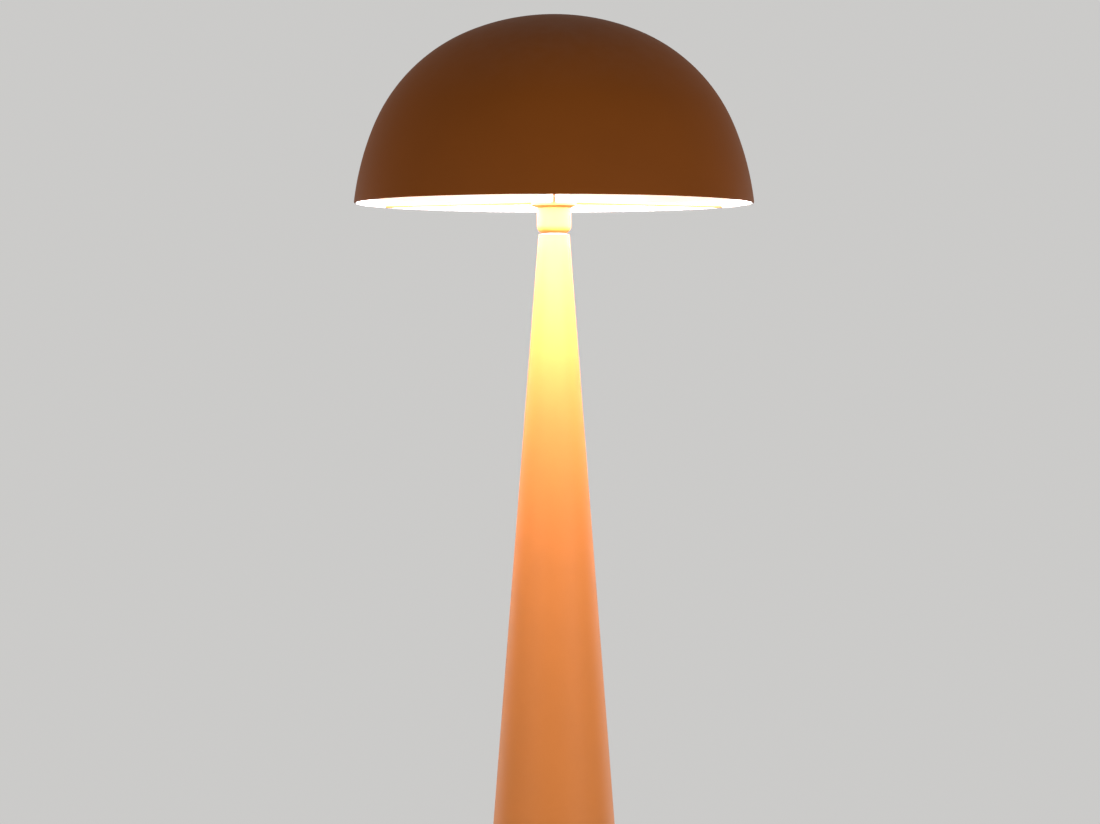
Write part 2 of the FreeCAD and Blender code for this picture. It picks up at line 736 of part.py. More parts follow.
def lead_cores():
    """The lead's two cores, from its end to the heads of the terminal screws."""
    rise = f"{CORE} - core_depth - terminal_head_height / 2 - ({LEAD_TOP})"
    body, pipe = wire("lead_cores", LEAD_TOP, "XZ_Plane", "0",
                      [("lead_diameter / 4", "0"), ("lead_diameter / 4", rise, "core_bend"),
                       ("terminal_circle / 2 - terminal_head / 2", rise)],
                      "XY_Plane", "0", ("lead_diameter / 4", "0"), "wire_diameter")
    around(body, [pipe], "2")


def earth_wire():
    """The earth wire, from the tag's barrel up to the block's outer pole."""
    foot = f"{BARREL_END} - barrel_length"
    wire("earth_wire", WEIGHT_TOP, "YZ_Plane", "pole_pitch",
         [(foot, BARREL_AXIS), (f"{BARREL_END} + earth_wire_run", BARREL_AXIS, "earth_wire_bend"),
          (f"{BLOCK_FACE} - earth_wire_run", "pole_height", "earth_wire_bend"), (BLOCK_FACE, "pole_height")],
         "XZ_Plane", f"-({foot})", ("pole_pitch", BARREL_AXIS), "wire_diameter")


# ---- cup and lampholder ----

def neck_spacer():
    flat_ring("neck_spacer", SPACER, "spacer_diameter", f"2 * ({TIE_HOLE})", "spacer_thickness")


def holder_cup():
    """The spun cup round the lampholder, open at its top, with a rounded bottom edge."""
    turned_piece("holder_cup", CUP, [
        (TIE_HOLE, "0"),
        (CUP_RADIUS, "0", "cup_rounding"),
        (CUP_RADIUS, "cup_height"),
        (f"{CUP_RADIUS} - cup_wall", "cup_height"),
        (f"{CUP_RADIUS} - cup_wall", "cup_wall", "cup_rounding - cup_wall"),
        (TIE_HOLE, "cup_wall"),
    ])


def holder_cap():
    """The lampholder's bottom half: a threaded boss for the tie tube inside a cup with a shoulder."""
    turned_piece("holder_cap", HOLDER, [
        ("tie_diameter / 2", "0"),
        (SKIRT_RADIUS, "0", "holder_rounding"),
        (SKIRT_RADIUS, "holder_shoulder"),
        (SKIRT_BORE, "holder_shoulder"),
        (SKIRT_BORE, "holder_rim"),
        (f"{SKIRT_BORE} - holder_wall", "holder_rim"),
        (f"{SKIRT_BORE} - holder_wall", "holder_floor", "holder_floor"),
        ("boss_diameter / 2", "holder_floor"),
        ("boss_diameter / 2", "boss_height"),
        ("tie_diameter / 2", "boss_height"),
    ])


def holder_core():
    """The porcelain core: a flange held between cap and skirt, tapped below for the terminals."""
    body = turned_piece("holder_core", CORE, [
        ("0", "-core_depth"),
        (f"{SKIRT_BORE} - holder_wall - fit_gap", "-core_depth"),
        (f"{SKIRT_BORE} - holder_wall - fit_gap", "0"),
        (f"{SKIRT_BORE} - fit_gap", "0"),
        (f"{SKIRT_BORE} - fit_gap", "core_flange"),
        (f"{SHELL_BORE} + shell_wall + shell_play / 2", "core_flange"),
        (f"{SHELL_BORE} + shell_wall + shell_play / 2", "core_flange + core_rise"),
        ("0", "core_flange + core_rise"),
    ])
    sketch = new_sketch(body, "Terminal", "XY_Plane", "-core_depth")
    for across, up in TERMINALS:
        circle(sketch, "terminal_shank", across, up)
    pocket(body, sketch, "terminal_grip + bolt_gap", ahead=True)


def holder_skirt():
    """The skirt: threaded outside, screwed over the cap, a collar round the screw shell."""
    flange_top = "holder_rim - holder_shoulder + core_flange"
    turned_piece("holder_skirt", f"{HOLDER} + holder_shoulder", [
        (SKIRT_BORE, "0"),
        (SKIRT_RADIUS, "0"),
        (SKIRT_RADIUS, "skirt_length", "skirt_rounding"),
        (COLLAR_BORE, "skirt_length", "skirt_rounding"),
        (COLLAR_BORE, flange_top),
        (SKIRT_BORE, flange_top),
    ])


def holder_contacts():
    """The screw shell that takes the bulb's cap, and the spring strip under its tip."""
    flat_ring("screw_shell", CORE_TOP, f"2 * ({SHELL_BORE} + shell_wall)", f"2 * ({SHELL_BORE})",
              "shell_length")
    body = new_body("centre_contact", CORE_TOP)
    sketch = new_sketch(body, "Strip")
    outline(sketch, [
        ("strip_lean", "0"),
        ("strip_lean + strip_foot", "0"),
        ("strip_lean + strip_foot", "strip_thickness"),
        ("strip_lean + strip_thickness", "strip_thickness"),
        ("strip_thickness", "contact_rise"),
        ("-strip_tip", "contact_rise"),
        ("-strip_tip", "contact_rise - strip_thickness"),
        ("0", "contact_rise - strip_thickness"),
    ])
    pad(body, sketch, "strip_width", midplane=True)


# ---- rings on the lampholder's thread ----

def seat_ring():
    """The lower ring, screwed down to the cup: a flared underside and a flat seat for the hub."""
    turned_piece("seat_ring", SEAT_RING, [
        (SKIRT_RADIUS, "0"),
        (f"{SKIRT_RADIUS} + ring_foot_width", "0"),
        (f"{SKIRT_RADIUS} + ring_width", "ring_height - ring_edge"),
        (f"{SKIRT_RADIUS} + ring_width", "ring_height"),
        (SKIRT_RADIUS, "ring_height"),
    ])


def clamp_ring():
    """The upper ring, screwed down on the hub: scallops all round it give the fingers a grip."""
    body = turned_piece("clamp_ring", HUB_TOP, [
        (f"{SKIRT_RADIUS} + thread_gap", "0"),
        (CLAMP_RADIUS, "0"),
        (CLAMP_RADIUS, "clamp_height", "clamp_edge"),
        (f"{SKIRT_RADIUS} + thread_gap", "clamp_height"),
    ])
    scallop = new_sketch(body, "Scallop", "XY_Plane")
    circle(scallop, "2 * grip_radius", f"{CLAMP_RADIUS} + grip_radius - grip_depth")
    around(body, [pocket(body, scallop, ahead=True)], "grip_count")


# ---- shade ----

def spider_hub():
    """The carrier's flat hub, with a half-round channel pressed into it for each arm."""
    bore = f"2 * ({SKIRT_RADIUS} + hub_gap)"
    body = flat_ring("spider_hub", HUB, f"2 * ({SKIRT_RADIUS} + hub_width)", bore, "hub_thickness",
                     ARMS["spider_arm_front"])
    channel = new_sketch(body, "Channel", "YZ_Plane")
    circle(channel, "arm_diameter", up=f"{ARM_AXIS} - ({HUB})")
    around(body, [pocket(body, channel, ahead=True)], str(len(ARMS)))


def spider_arms():
    """Round arms from the hub's channels to the hem, their ends coped to the hem's bead."""
    for name, turn in ARMS.items():
        body = new_body(name, ARM_AXIS, turn)
        start = f"{CLAMP_RADIUS} + arm_gap"
        section = new_sketch(body, "Section", "YZ_Plane", start)
        circle(section, "arm_diameter")
        pad(body, section, f"{HEM_REACH} - ({start})")
        bead = new_sketch(body, "Bead")
        circle(bead, "hem_diameter", HEM_REACH)
        revolve(body, bead, kind="PartDesign::Groove")


def shade_dome():
    """The spun dome: three tangent arcs, an even wall, and the edge rolled inward into a bead."""
    body = new_body("shade_dome", RIM)
    sketch = new_sketch(body, "Half")
    bends = [value("crown_angle"), value("shoulder_angle"), 90 - value("rim_slope")]
    sines = [math.sin(math.radians(bend)) for bend in bends]
    cosines = [math.cos(math.radians(bend)) for bend in bends]
    hem = value("hem_diameter") / 2
    crown = value("crown_radius")
    # the shoulder and skirt radii that bring the crown arc out and down to the bead, from two sums
    out = value(HEM_REACH) + hem * sines[2] - crown * sines[0]
    down = value("shade_rise") - hem - hem * cosines[2] - crown * (1 - cosines[0])
    out_steps = (sines[1] - sines[0], sines[2] - sines[1])
    down_steps = (cosines[0] - cosines[1], cosines[1] - cosines[2])
    whole = out_steps[0] * down_steps[1] - out_steps[1] * down_steps[0]
    shoulder = (out * down_steps[1] - out_steps[1] * down) / whole
    skirt = (out_steps[0] * down - out * down_steps[0]) / whole

    radii = [crown, shoulder, skirt]
    starts = [0] + bends[:2]
    centre = [0, value("shade_rise") - crown]
    centres = [tuple(centre)]
    for i in (0, 1):
        centre[0] += (radii[i] - radii[i + 1]) * sines[i]
        centre[1] += (radii[i] - radii[i + 1]) * cosines[i]
        centres.append(tuple(centre))
    wall = value("shade_wall")
    outer = [arc(sketch, centres[i], radii[i], 90 - bends[i], 90 - starts[i]) for i in range(3)]
    inner = [arc(sketch, centres[i], radii[i] - wall, 90 - bends[i], 90 - starts[i]) for i in range(3)]
    open_angle = math.degrees(math.acos((hem - wall) / hem))
    bead_centre = (value(HEM_REACH), hem)
    bead = arc(sketch, bead_centre, hem, value("rim_slope") + open_angle, value("rim_slope") + 360)
    crown_edge = line(sketch, sketch.getPoint(outer[0], 2), sketch.getPoint(inner[0], 2))

    dimension(sketch, "Radius", outer[0], formula="crown_radius")
    dimension(sketch, "Radius", inner[0], formula="crown_radius - shade_wall")
    dimension(sketch, "Radius", bead, formula="hem_diameter / 2")
    hold(sketch, bead, 3, HEM_REACH, "hem_diameter / 2")
    hold(sketch, outer[0], 2, "0", "shade_rise")
    sketch.addConstraint(Sketcher.Constraint("PointOnObject", outer[0], 3, -2))
    sketch.addConstraint(Sketcher.Constraint("PointOnObject", inner[0], 2, -2))
    join(sketch, "Coincident", crown_edge, 1, outer[0], 2)
    join(sketch, "Coincident", crown_edge, 2, inner[0], 2)
    for i in (0, 1):
        join(sketch, "Tangent", outer[i], 1, outer[i + 1], 2)
        join(sketch, "Coincident", inner[i], 1, inner[i + 1], 2)
    join(sketch, "Tangent", outer[2], 1, bead, 2)
    join(sketch, "Coincident", inner[2], 1, bead, 1)
    for i in range(3):
        join(sketch, "Coincident", inner[i], 3, outer[i], 3)
    # radial lines to the bends, whose angles shape the dome
    for i, formula in enumerate(("90 - crown_angle", "90 - shoulder_angle")):
        spoke = line(sketch, FreeCAD.Vector(*centres[i], 0), sketch.getPoint(outer[i], 1), construction=True)
        join(sketch, "Coincident", spoke, 1, outer[i], 3)
        join(sketch, "Coincident", spoke, 2, outer[i], 1)
        sketch.addConstraint(Sketcher.Constraint("PointOnObject", inner[i], 1, spoke))
        dimension(sketch, "Angle", spoke, formula=formula)
    spoke = line(sketch, FreeCAD.Vector(*bead_centre, 0), sketch.getPoint(bead, 2), construction=True)
    join(sketch, "Coincident", spoke, 1, bead, 3)
    join(sketch, "Coincident", spoke, 2, bead, 2)
    dimension(sketch, "Angle", spoke, formula="rim_slope")
    revolve(body, sketch)


# ---- bulb ----

def bulb_base():
    """The screw cap of the bulb, with the insulator and the tip contact that close its lower end."""
    inside = "bulb_cap_diameter / 2 - bulb_cap_wall"
    flat_ring("bulb_cap", f"{BULB} + insulator_height", "bulb_cap_diameter", f"2 * ({inside})",
              "bulb_cap_length - insulator_height")
    turned_piece("bulb_insulator", BULB, [
        ("0", "tip_height"),
        ("tip_diameter / 2", "tip_height"),
        (inside, "insulator_height"),
        (inside, "insulator_height + insulator_seat"),
        ("0", "insulator_height + insulator_seat"),
    ])
    turned_piece("bulb_tip", BULB, [
        ("0", "0"),
        ("tip_diameter / 2", "0", "tip_height / 2"),
        ("tip_diameter / 2", "tip_height"),
        ("0", "tip_height"),
    ])


def bulb_collar():
    """The white collar: a plug in the cap, a neck above it and a flare up to the globe."""
    inside = "bulb_cap_diameter / 2 - bulb_cap_wall"
    turned_piece("bulb_collar", BULB, [
        ("0", "insulator_height + insulator_seat"),
        (inside, "insulator_height + insulator_seat"),
        (inside, "bulb_cap_length"),
        ("collar_neck_diameter / 2", "bulb_cap_length"),
        ("collar_neck_diameter / 2", "bulb_cap_length + collar_neck", "collar_rounding"),
        (f"{GLOBE_MOUTH} + collar_step", "bulb_split - collar_lip", "collar_rounding"),
        (f"{GLOBE_MOUTH} + collar_step", "bulb_split"),
        ("0", "bulb_split"),
    ])


def bulb_globe():
    """The opal globe: a thin ball cut off flat where it sits on the collar."""
    body = new_body("bulb_globe", BULB)
    sketch = new_sketch(body, "Half")
    skins = []
    for radius in ("bulb_diameter / 2", "bulb_diameter / 2 - globe_wall"):
        low = -math.degrees(math.asin(value(GLOBE_DROP) / value(radius)))
        skin = arc(sketch, (0, value(GLOBE_MIDDLE)), value(radius), low, 90)
        dimension(sketch, "Radius", skin, formula=radius)
        hold(sketch, skin, 3, "0", GLOBE_MIDDLE)
        sketch.addConstraint(Sketcher.Constraint("PointOnObject", skin, 2, -2))
        dimension(sketch, "DistanceY", -1, 1, skin, 1, formula="bulb_split")
        skins.append(skin)
    for end in (1, 2):
        edge = line(sketch, sketch.getPoint(skins[0], end), sketch.getPoint(skins[1], end))
        join(sketch, "Coincident", edge, 1, skins[0], end)
        join(sketch, "Coincident", edge, 2, skins[1], end)
    revolve(body, sketch)


# ---- build, check and write ----

def check_pieces():
    """Stop if an object failed, a cut took nothing away, or a piece isn't a sound solid."""
    for item in doc.Objects:
        if {"Invalid", "Error"} & set(item.State):
            raise RuntimeError(f"{item.Name} failed: {item.State}")
        if item.TypeId == "Sketcher::SketchObject" and item.solve() != 0:
            raise RuntimeError(f"{item.Name} doesn't solve")
        if item.TypeId in ("PartDesign::Pocket", "PartDesign::Groove"):
            if item.Shape.Volume > item.BaseFeature.Shape.Volume - 1e-3:
                raise RuntimeError(f"{item.Name} cuts nothing")
    for body in pieces():
        if body.Shape.isNull() or not body.Shape.isValid() or not body.Shape.Solids:
            raise RuntimeError(f"{body.Label} isn't a sound solid")


def pieces():
    """The sub-parts of the document, in the order they were made."""
    return [item for item in doc.Objects if item.TypeId == "PartDesign::Body"]


felt_pads()
base_plate()
weight()
weight_screws()
tie_tube()
nuts_and_washers()
column_shell()
column_cap()
cable_grommet()
terminal_block()
terminal_inserts()
earth_tag()
wiring_screws()
inner_lead()
lead_cores()
earth_wire()
neck_spacer()
holder_cup()
holder_cap()
holder_core()
holder_skirt()
holder_contacts()
seat_ring()
clamp_ring()
spider_hub()
spider_arms()
shade_dome()
bulb_base()
bulb_collar()
bulb_globe()
doc.recompute()
check_pieces()

os.makedirs("parts", exist_ok=True)
for piece in pieces():
    piece.Shape.exportStep(f"parts/{piece.Label}.step")
    box = piece.Shape.BoundBox
    print(f"{piece.Label}: {len(piece.Shape.Solids)} solids, {piece.Shape.Volume / 1000:.2f} cm3,"
          f" z {box.ZMin:.1f} to {box.ZMax:.1f}, across {box.XLength:.1f}")
for body, path, diameter, bends in wires:
    swept = math.pi * value(diameter) ** 2 / 4 * path.Shape.Length * len(body.Shape.Solids)
    print(f"{body.Label}: bends of {', '.join(f'{value(bend):g}' for bend in bends)} mm,"
          f" {body.Shape.Volume:.1f} mm3 against {swept:.1f} mm3 for section times length")
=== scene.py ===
# %% [markdown]
# # A mushroom floor lamp
# The lamp is a tall painted cone, a small cup with a lampholder on top of it, and a wide spun dome over
# the bulb. Its construction is already settled, piece by piece and in metres. This lesson opens that
# construction as a fixed frame, gives every piece its finish, makes the pieces whose shape is finer than
# the frame's, and lights the lamp softly. Every length is in metres, the floor is z = 0, and the lamp is
# seen from -Y.

# %% open the frame
import json
import math

import bpy
from mathutils import Matrix, Vector, noise


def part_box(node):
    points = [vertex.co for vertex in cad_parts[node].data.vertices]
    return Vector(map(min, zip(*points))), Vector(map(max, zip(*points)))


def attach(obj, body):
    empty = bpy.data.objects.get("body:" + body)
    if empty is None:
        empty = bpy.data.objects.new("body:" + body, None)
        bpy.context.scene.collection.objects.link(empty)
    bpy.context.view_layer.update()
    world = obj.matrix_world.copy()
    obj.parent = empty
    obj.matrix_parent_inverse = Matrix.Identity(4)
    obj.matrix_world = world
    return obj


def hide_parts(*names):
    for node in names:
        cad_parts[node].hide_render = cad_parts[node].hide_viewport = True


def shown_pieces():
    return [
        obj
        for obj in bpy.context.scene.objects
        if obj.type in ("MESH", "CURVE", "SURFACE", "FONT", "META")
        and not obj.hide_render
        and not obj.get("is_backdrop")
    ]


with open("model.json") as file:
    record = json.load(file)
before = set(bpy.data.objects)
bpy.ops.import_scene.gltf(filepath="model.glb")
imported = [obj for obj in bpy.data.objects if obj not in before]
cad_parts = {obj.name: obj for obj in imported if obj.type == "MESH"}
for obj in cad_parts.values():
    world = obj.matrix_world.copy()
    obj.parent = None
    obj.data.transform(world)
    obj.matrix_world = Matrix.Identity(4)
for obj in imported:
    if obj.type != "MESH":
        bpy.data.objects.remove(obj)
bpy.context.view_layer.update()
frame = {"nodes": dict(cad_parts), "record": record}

nodes = frame["nodes"]

# %% [markdown]
# A finish is a tree of shader nodes, and the same few lines make each of them: add a node, set its
# options, and fill each input with a number or with another node's output. Two helpers keep that short.
# The second one starts a node group, a small tree with named inputs and outputs, which is how an effect
# that several finishes share is built once and placed in each of them with its own values.

# %% helpers for shader nodes
COLOUR, NUMBER = "NodeSocketColor", "NodeSocketFloat"


def add(tree, kind, inputs=None, **options):
    """Add a shader node, set its options, and fill its inputs with numbers or with outputs."""
    made = tree.nodes.new(kind)
    for option, chosen in options.items():
        setattr(made, option, chosen)
    for name, source in (inputs or {}).items():
        if isinstance(source, bpy.types.NodeSocket):
            tree.links.new(source, made.inputs[name])
        else:
            made.inputs[name].default_value = source
    return made


def new_group(name, inputs, outputs):
    """Start a node group from named inputs with their defaults and from named outputs."""
    group = bpy.data.node_groups.new(name, "ShaderNodeTree")
    for label, kind, default in inputs:
        group.interface.new_socket(label, in_out="INPUT", socket_type=kind).default_value = default
    for label, kind in outputs:
        group.interface.new_socket(label, in_out="OUTPUT", socket_type=kind)
    given = add(group, "NodeGroupInput").outputs
    return group, given, add(group, "NodeGroupOutput")


def placed(tree, group, **inputs):
    """Place a node group in a material with its own values, and return its outputs."""
    made = add(tree, "ShaderNodeGroup", node_tree=group)
    for name, source in inputs.items():
        socket = made.inputs[name.replace("_", " ")]
        if isinstance(source, bpy.types.NodeSocket):
            tree.links.new(source, socket)
        else:
            socket.default_value = source
    return made.outputs


# %% [markdown]
# No real surface has one even colour. Paint flows a little thicker here and thinner there, plastic and
# metal are handled, and the shine shifts with it. Slow, soft noise in the piece's own coordinates does
# this, so the clouds stay on the piece when it moves. The group takes the colour and roughness that the
# finish should have on average, and how far they drift.

# %% group: cloudy tone
cloudy_tone, given, out = new_group(
    "cloudy_tone",
    [("Colour", COLOUR, (0.5, 0.5, 0.5, 1)), ("Drift", NUMBER, 0.05), ("Size", NUMBER, 0.05),
     ("Roughness", NUMBER, 0.4), ("Shine Drift", NUMBER, 0.04)],
    [("Colour", COLOUR), ("Roughness", NUMBER)])
place = add(cloudy_tone, "ShaderNodeTexCoord").outputs["Object"]
frequency = add(cloudy_tone, "ShaderNodeMath", {0: 1.0, 1: given["Size"]}, operation="DIVIDE").outputs[0]
cloud = add(cloudy_tone, "ShaderNodeTexNoise", {"Vector": place, "Scale": frequency, "Detail": 4.0})
swing = add(cloudy_tone, "ShaderNodeMapRange", {
    "Value": cloud.outputs["Fac"], "From Min": 0.3, "From Max": 0.7, "To Min": -1.0, "To Max": 1.0})
tone = add(cloudy_tone, "ShaderNodeMath", {0: swing.outputs[0], 1: given["Drift"], 2: 1.0},
           operation="MULTIPLY_ADD")
shade = add(cloudy_tone, "ShaderNodeVectorMath", {0: given["Colour"], "Scale": tone.outputs[0]},
            operation="SCALE")
shine = add(cloudy_tone, "ShaderNodeMath", {0: swing.outputs[0], 1: given["Shine Drift"],
                                            2: given["Roughness"]}, operation="MULTIPLY_ADD")
cloudy_tone.links.new(shade.outputs[0], out.inputs["Colour"])
cloudy_tone.links.new(shine.outputs[0], out.inputs["Roughness"])
print("group cloudy_tone:", len(cloudy_tone.nodes), "nodes")

# %% [markdown]
# Sprayed paint dries with a faint orange peel, a casting keeps the grain of its sand, and moulded plastic
# the grain of its tool. All of these are the same thing at different sizes: a fine, even noise used as a
# height. The group gives that height, and each finish feeds it to a bump node with a depth of its own.

# %% group: fine grain
fine_grain, given, out = new_group(
    "fine_grain", [("Size", NUMBER, 0.003), ("Fineness", NUMBER, 2.0)], [("Height", NUMBER)])
place = add(fine_grain, "ShaderNodeTexCoord").outputs["Object"]
frequency = add(fine_grain, "ShaderNodeMath", {0: 1.0, 1: given["Size"]}, operation="DIVIDE").outputs[0]
grain = add(fine_grain, "ShaderNodeTexNoise", {"Vector": place, "Scale": frequency,
                                               "Detail": given["Fineness"]})
fine_grain.links.new(grain.outputs["Fac"], out.inputs["Height"])
print("group fine_grain:", len(fine_grain.nodes), "nodes")

# %% [markdown]
# Nuts, washers, rolled caps and lamp tube are turned or rolled, and the tool leaves fine rings about the
# axis. The lamp's axis is the Z axis of every piece, so noise that is read by distance from the axis and
# by height, but not by direction, draws those rings on flat faces and on round ones alike.

# %% group: tool rings
tool_rings, given, out = new_group(
    "tool_rings", [("Spacing", NUMBER, 0.0004)], [("Height", NUMBER)])
place = add(tool_rings, "ShaderNodeTexCoord").outputs["Object"]
across = add(tool_rings, "ShaderNodeVectorMath", {0: place, 1: (1.0, 1.0, 0.0)}, operation="MULTIPLY")
radius = add(tool_rings, "ShaderNodeVectorMath", {0: across.outputs[0]}, operation="LENGTH")
height = add(tool_rings, "ShaderNodeSeparateXYZ", {"Vector": place}).outputs["Z"]
reading = add(tool_rings, "ShaderNodeCombineXYZ", {"X": radius.outputs["Value"], "Y": height})
frequency = add(tool_rings, "ShaderNodeMath", {0: 1.0, 1: given["Spacing"]}, operation="DIVIDE").outputs[0]
rings = add(tool_rings, "ShaderNodeTexNoise", {"Vector": reading.outputs[0], "Scale": frequency,
                                               "Detail": 2.0})
tool_rings.links.new(rings.outputs["Fac"], out.inputs["Height"])
print("group tool_rings:", len(tool_rings.nodes), "nodes")

# %% [markdown]
# Dust settles on what faces up, thinly and in patches. The group turns that into a mask: how far the
# surface faces up, times a patchy noise, times an amount. A finish mixes a pale grey in by it.

# %% group: settled dust
settled_dust, given, out = new_group("settled_dust", [("Amount", NUMBER, 0.1)], [("Mask", NUMBER)])
place = add(settled_dust, "ShaderNodeTexCoord").outputs["Object"]
facing = add(settled_dust, "ShaderNodeNewGeometry").outputs["Normal"]
upward = add(settled_dust, "ShaderNodeMapRange", {
    "Value": add(settled_dust, "ShaderNodeSeparateXYZ", {"Vector": facing}).outputs["Z"],
    "From Min": 0.5, "From Max": 1.0, "To Min": 0.0, "To Max": 1.0})
patches = add(settled_dust, "ShaderNodeTexNoise", {"Vector": place, "Scale": 60.0, "Detail": 5.0})
lying = add(settled_dust, "ShaderNodeMath", {0: upward.outputs[0], 1: patches.outputs["Fac"]},
            operation="MULTIPLY")
mask = add(settled_dust, "ShaderNodeMath", {0: lying.outputs[0], 1: given["Amount"]}, operation="MULTIPLY")
settled_dust.links.new(mask.outputs[0], out.inputs["Mask"])
print("group settled_dust:", len(settled_dust.nodes), "nodes")

# %% [markdown]
# Each finish starts the same way: a material with one principled shader, whose colour and roughness come
# from the clouds. The first helper makes that much and returns the tree and the shader, so that a finish can
# go on from there; two more let a height stand up through the normal and mix dust into the colour.

# %% helper for a finish
finishes = {}


def new_finish(name, colour, roughness, drift=0.05, cloud_size=0.05, shine_drift=0.04, **sockets):
    """Start a finish: clouds on its colour and roughness, other values on the shader's own sockets."""
    material = bpy.data.materials.new(name)
    material.use_nodes = True
    tree = material.node_tree
    shader = tree.nodes["Principled BSDF"]
    clouds = placed(tree, cloudy_tone, Colour=(*colour, 1), Drift=drift, Size=cloud_size,
                    Roughness=roughness, Shine_Drift=shine_drift)
    tree.links.new(clouds["Colour"], shader.inputs["Base Color"])
    tree.links.new(clouds["Roughness"], shader.inputs["Roughness"])
    for socket, value in sockets.items():
        shader.inputs[socket.replace("_", " ")].default_value = value
    finishes[name] = material
    return tree, shader


dust_colour = (0.55, 0.52, 0.48, 1)


def raise_relief(tree, shader, height, depth):
    """Let a height stand up from the surface by a depth, through the shader's normal."""
    bump = add(tree, "ShaderNodeBump", {"Height": height, "Distance": depth})
    tree.links.new(bump.outputs["Normal"], shader.inputs["Normal"])


def lay_dust(tree, shader, amount):
    """Mix pale dust into the colour where the surface faces up."""
    colour = shader.inputs["Base Color"].links[0].from_socket
    mask = placed(tree, settled_dust, Amount=amount)["Mask"]
    mixed = add(tree, "ShaderNodeMix", {0: mask, 6: colour, 7: dust_colour}, data_type="RGBA")
    tree.links.new(mixed.outputs[2], shader.inputs["Base Color"])


# %% [markdown]
# The whole lamp is sprayed in one burnt ochre, half-way between satin and matt. It isn't clear-coated, so
# one broad, soft highlight is nearer to it than a coat over a base, and the orange peel is only a few
# hundredths of a millimetre deep. The dome and the stand have their own finish each. The dome's is the
# same ochre darkened to a third or less, which is painted shade for the dome's outside that the bulb doesn't
# light, and its highlight is duller. On the stand, the soft highlight also turns the paint creamy where the
# light from the dome is strong.

# %% finish: satin paint
stand_colour = (0.50, 0.155, 0.026)
# the dome's colour is the stand's ochre darkened: painted shade for its unlit outside
dome_colour_in_painted_shade = (0.165, 0.044, 0.0050)


def orange_peel(tree, shader):
    """Give a sprayed finish the shallow waves that it dries with."""
    raise_relief(tree, shader, placed(tree, fine_grain, Size=0.0028, Fineness=1.5)["Height"], 0.00004)


def satin_paint(name, colour, roughness, highlight):
    """Make one of the lamp's two paints: its colour, and how broad and how strong its highlight is."""
    tree, shader = new_finish(name, colour, roughness, drift=0.035, cloud_size=0.11, shine_drift=0.03,
                              Specular_IOR_Level=highlight)
    orange_peel(tree, shader)
    lay_dust(tree, shader, 0.04)


satin_paint("stand_paint", stand_colour, roughness=0.6, highlight=0.3)
satin_paint("shade_paint", dome_colour_in_painted_shade, roughness=0.6, highlight=0.05)
print("paint on the stand:", stand_colour, "and on the dome:", dome_colour_in_painted_shade)

# %% [markdown]
# Inside, the dome is white, so that it throws the bulb's light down. It is the same kind of sprayed
# finish as the outside, a little smoother.

# %% finish: white inside
tree, shader = new_finish("inside_white", (0.86, 0.845, 0.80), roughness=0.36, drift=0.015,
                          cloud_size=0.09, Coat_Weight=0.1, Coat_Roughness=0.25)
orange_peel(tree, shader)

# %% [markdown]
# The lampholder is moulded in a pale heat-proof plastic with a fine tool grain, the terminal block in a
# softer one, and the bulb's collar in a smooth glossy one. They differ only in colour, shine and grain.

# %% finish: moulded plastics
def moulded(name, colour, roughness, grain_size, grain_depth, **sockets):
    """Make a moulded plastic: its colour and shine, and the grain that its tool leaves on it."""
    tree, shader = new_finish(name, colour, roughness, drift=0.02, cloud_size=0.02, **sockets)
    grain = placed(tree, fine_grain, Size=grain_size, Fineness=3.0)["Height"]
    raise_relief(tree, shader, grain, grain_depth)
    lay_dust(tree, shader, 0.08)


moulded("holder_plastic", (0.80, 0.76, 0.67), 0.38, 0.0006, 0.00003)
moulded("block_plastic", (0.80, 0.78, 0.70), 0.5, 0.0005, 0.00004, Subsurface_Weight=0.05)
moulded("bulb_plastic", (0.84, 0.83, 0.80), 0.22, 0.0012, 0.00001, Coat_Weight=0.3)

# %% [markdown]
# The bulb's cap sits on a plug of porcelain, glazed where it shows, and its lower end is closed by black
# glass round the tip. Both are smooth ceramics: the glaze is a coat over a rougher body.

# %% finish: porcelain and black glass
tree, shader = new_finish("porcelain", (0.83, 0.82, 0.78), roughness=0.45, drift=0.02, cloud_size=0.015,
                          Coat_Weight=0.8, Coat_Roughness=0.08)
raise_relief(tree, shader, placed(tree, fine_grain, Size=0.0018, Fineness=1.0)["Height"], 0.00005)
tree, shader = new_finish("black_glass", (0.012, 0.012, 0.014), roughness=0.2, drift=0.2,
                          cloud_size=0.006, Coat_Weight=0.6, Coat_Roughness=0.04)
raise_relief(tree, shader, placed(tree, fine_grain, Size=0.0025, Fineness=1.0)["Height"], 0.00006)

# %% [markdown]
# Brass contacts, zinc-plated screws, nuts, washers and lamp tube, the nickelled cap of the bulb and the
# plain steel of the base plate are all metals with the marks of their making. One function makes them,
# with the metal's colour, its shine and how deep its rings are.

# %% finish: metals
def worked_metal(name, colour, roughness, ring_depth):
    """Make a turned or rolled metal: its colour and shine, and how deep the tool's rings are."""
    tree, shader = new_finish(name, colour, roughness, drift=0.08, cloud_size=0.012, shine_drift=0.08,
                              Metallic=1.0)
    raise_relief(tree, shader, placed(tree, tool_rings, Spacing=0.0004)["Height"], ring_depth)


worked_metal("brass", (0.72, 0.50, 0.20), 0.28, 0.000012)
worked_metal("zinc_plated_steel", (0.60, 0.62, 0.62), 0.34, 0.000015)
worked_metal("nickel", (0.66, 0.62, 0.56), 0.22, 0.000006)
worked_metal("plain_steel", (0.36, 0.36, 0.37), 0.42, 0.00003)

# %% [markdown]
# The weight in the foot is cast iron, dark, dull and grainy from the sand it was poured in. Dust lies on
# it more thickly than on the paint and the plastics, which take theirs from the same group.

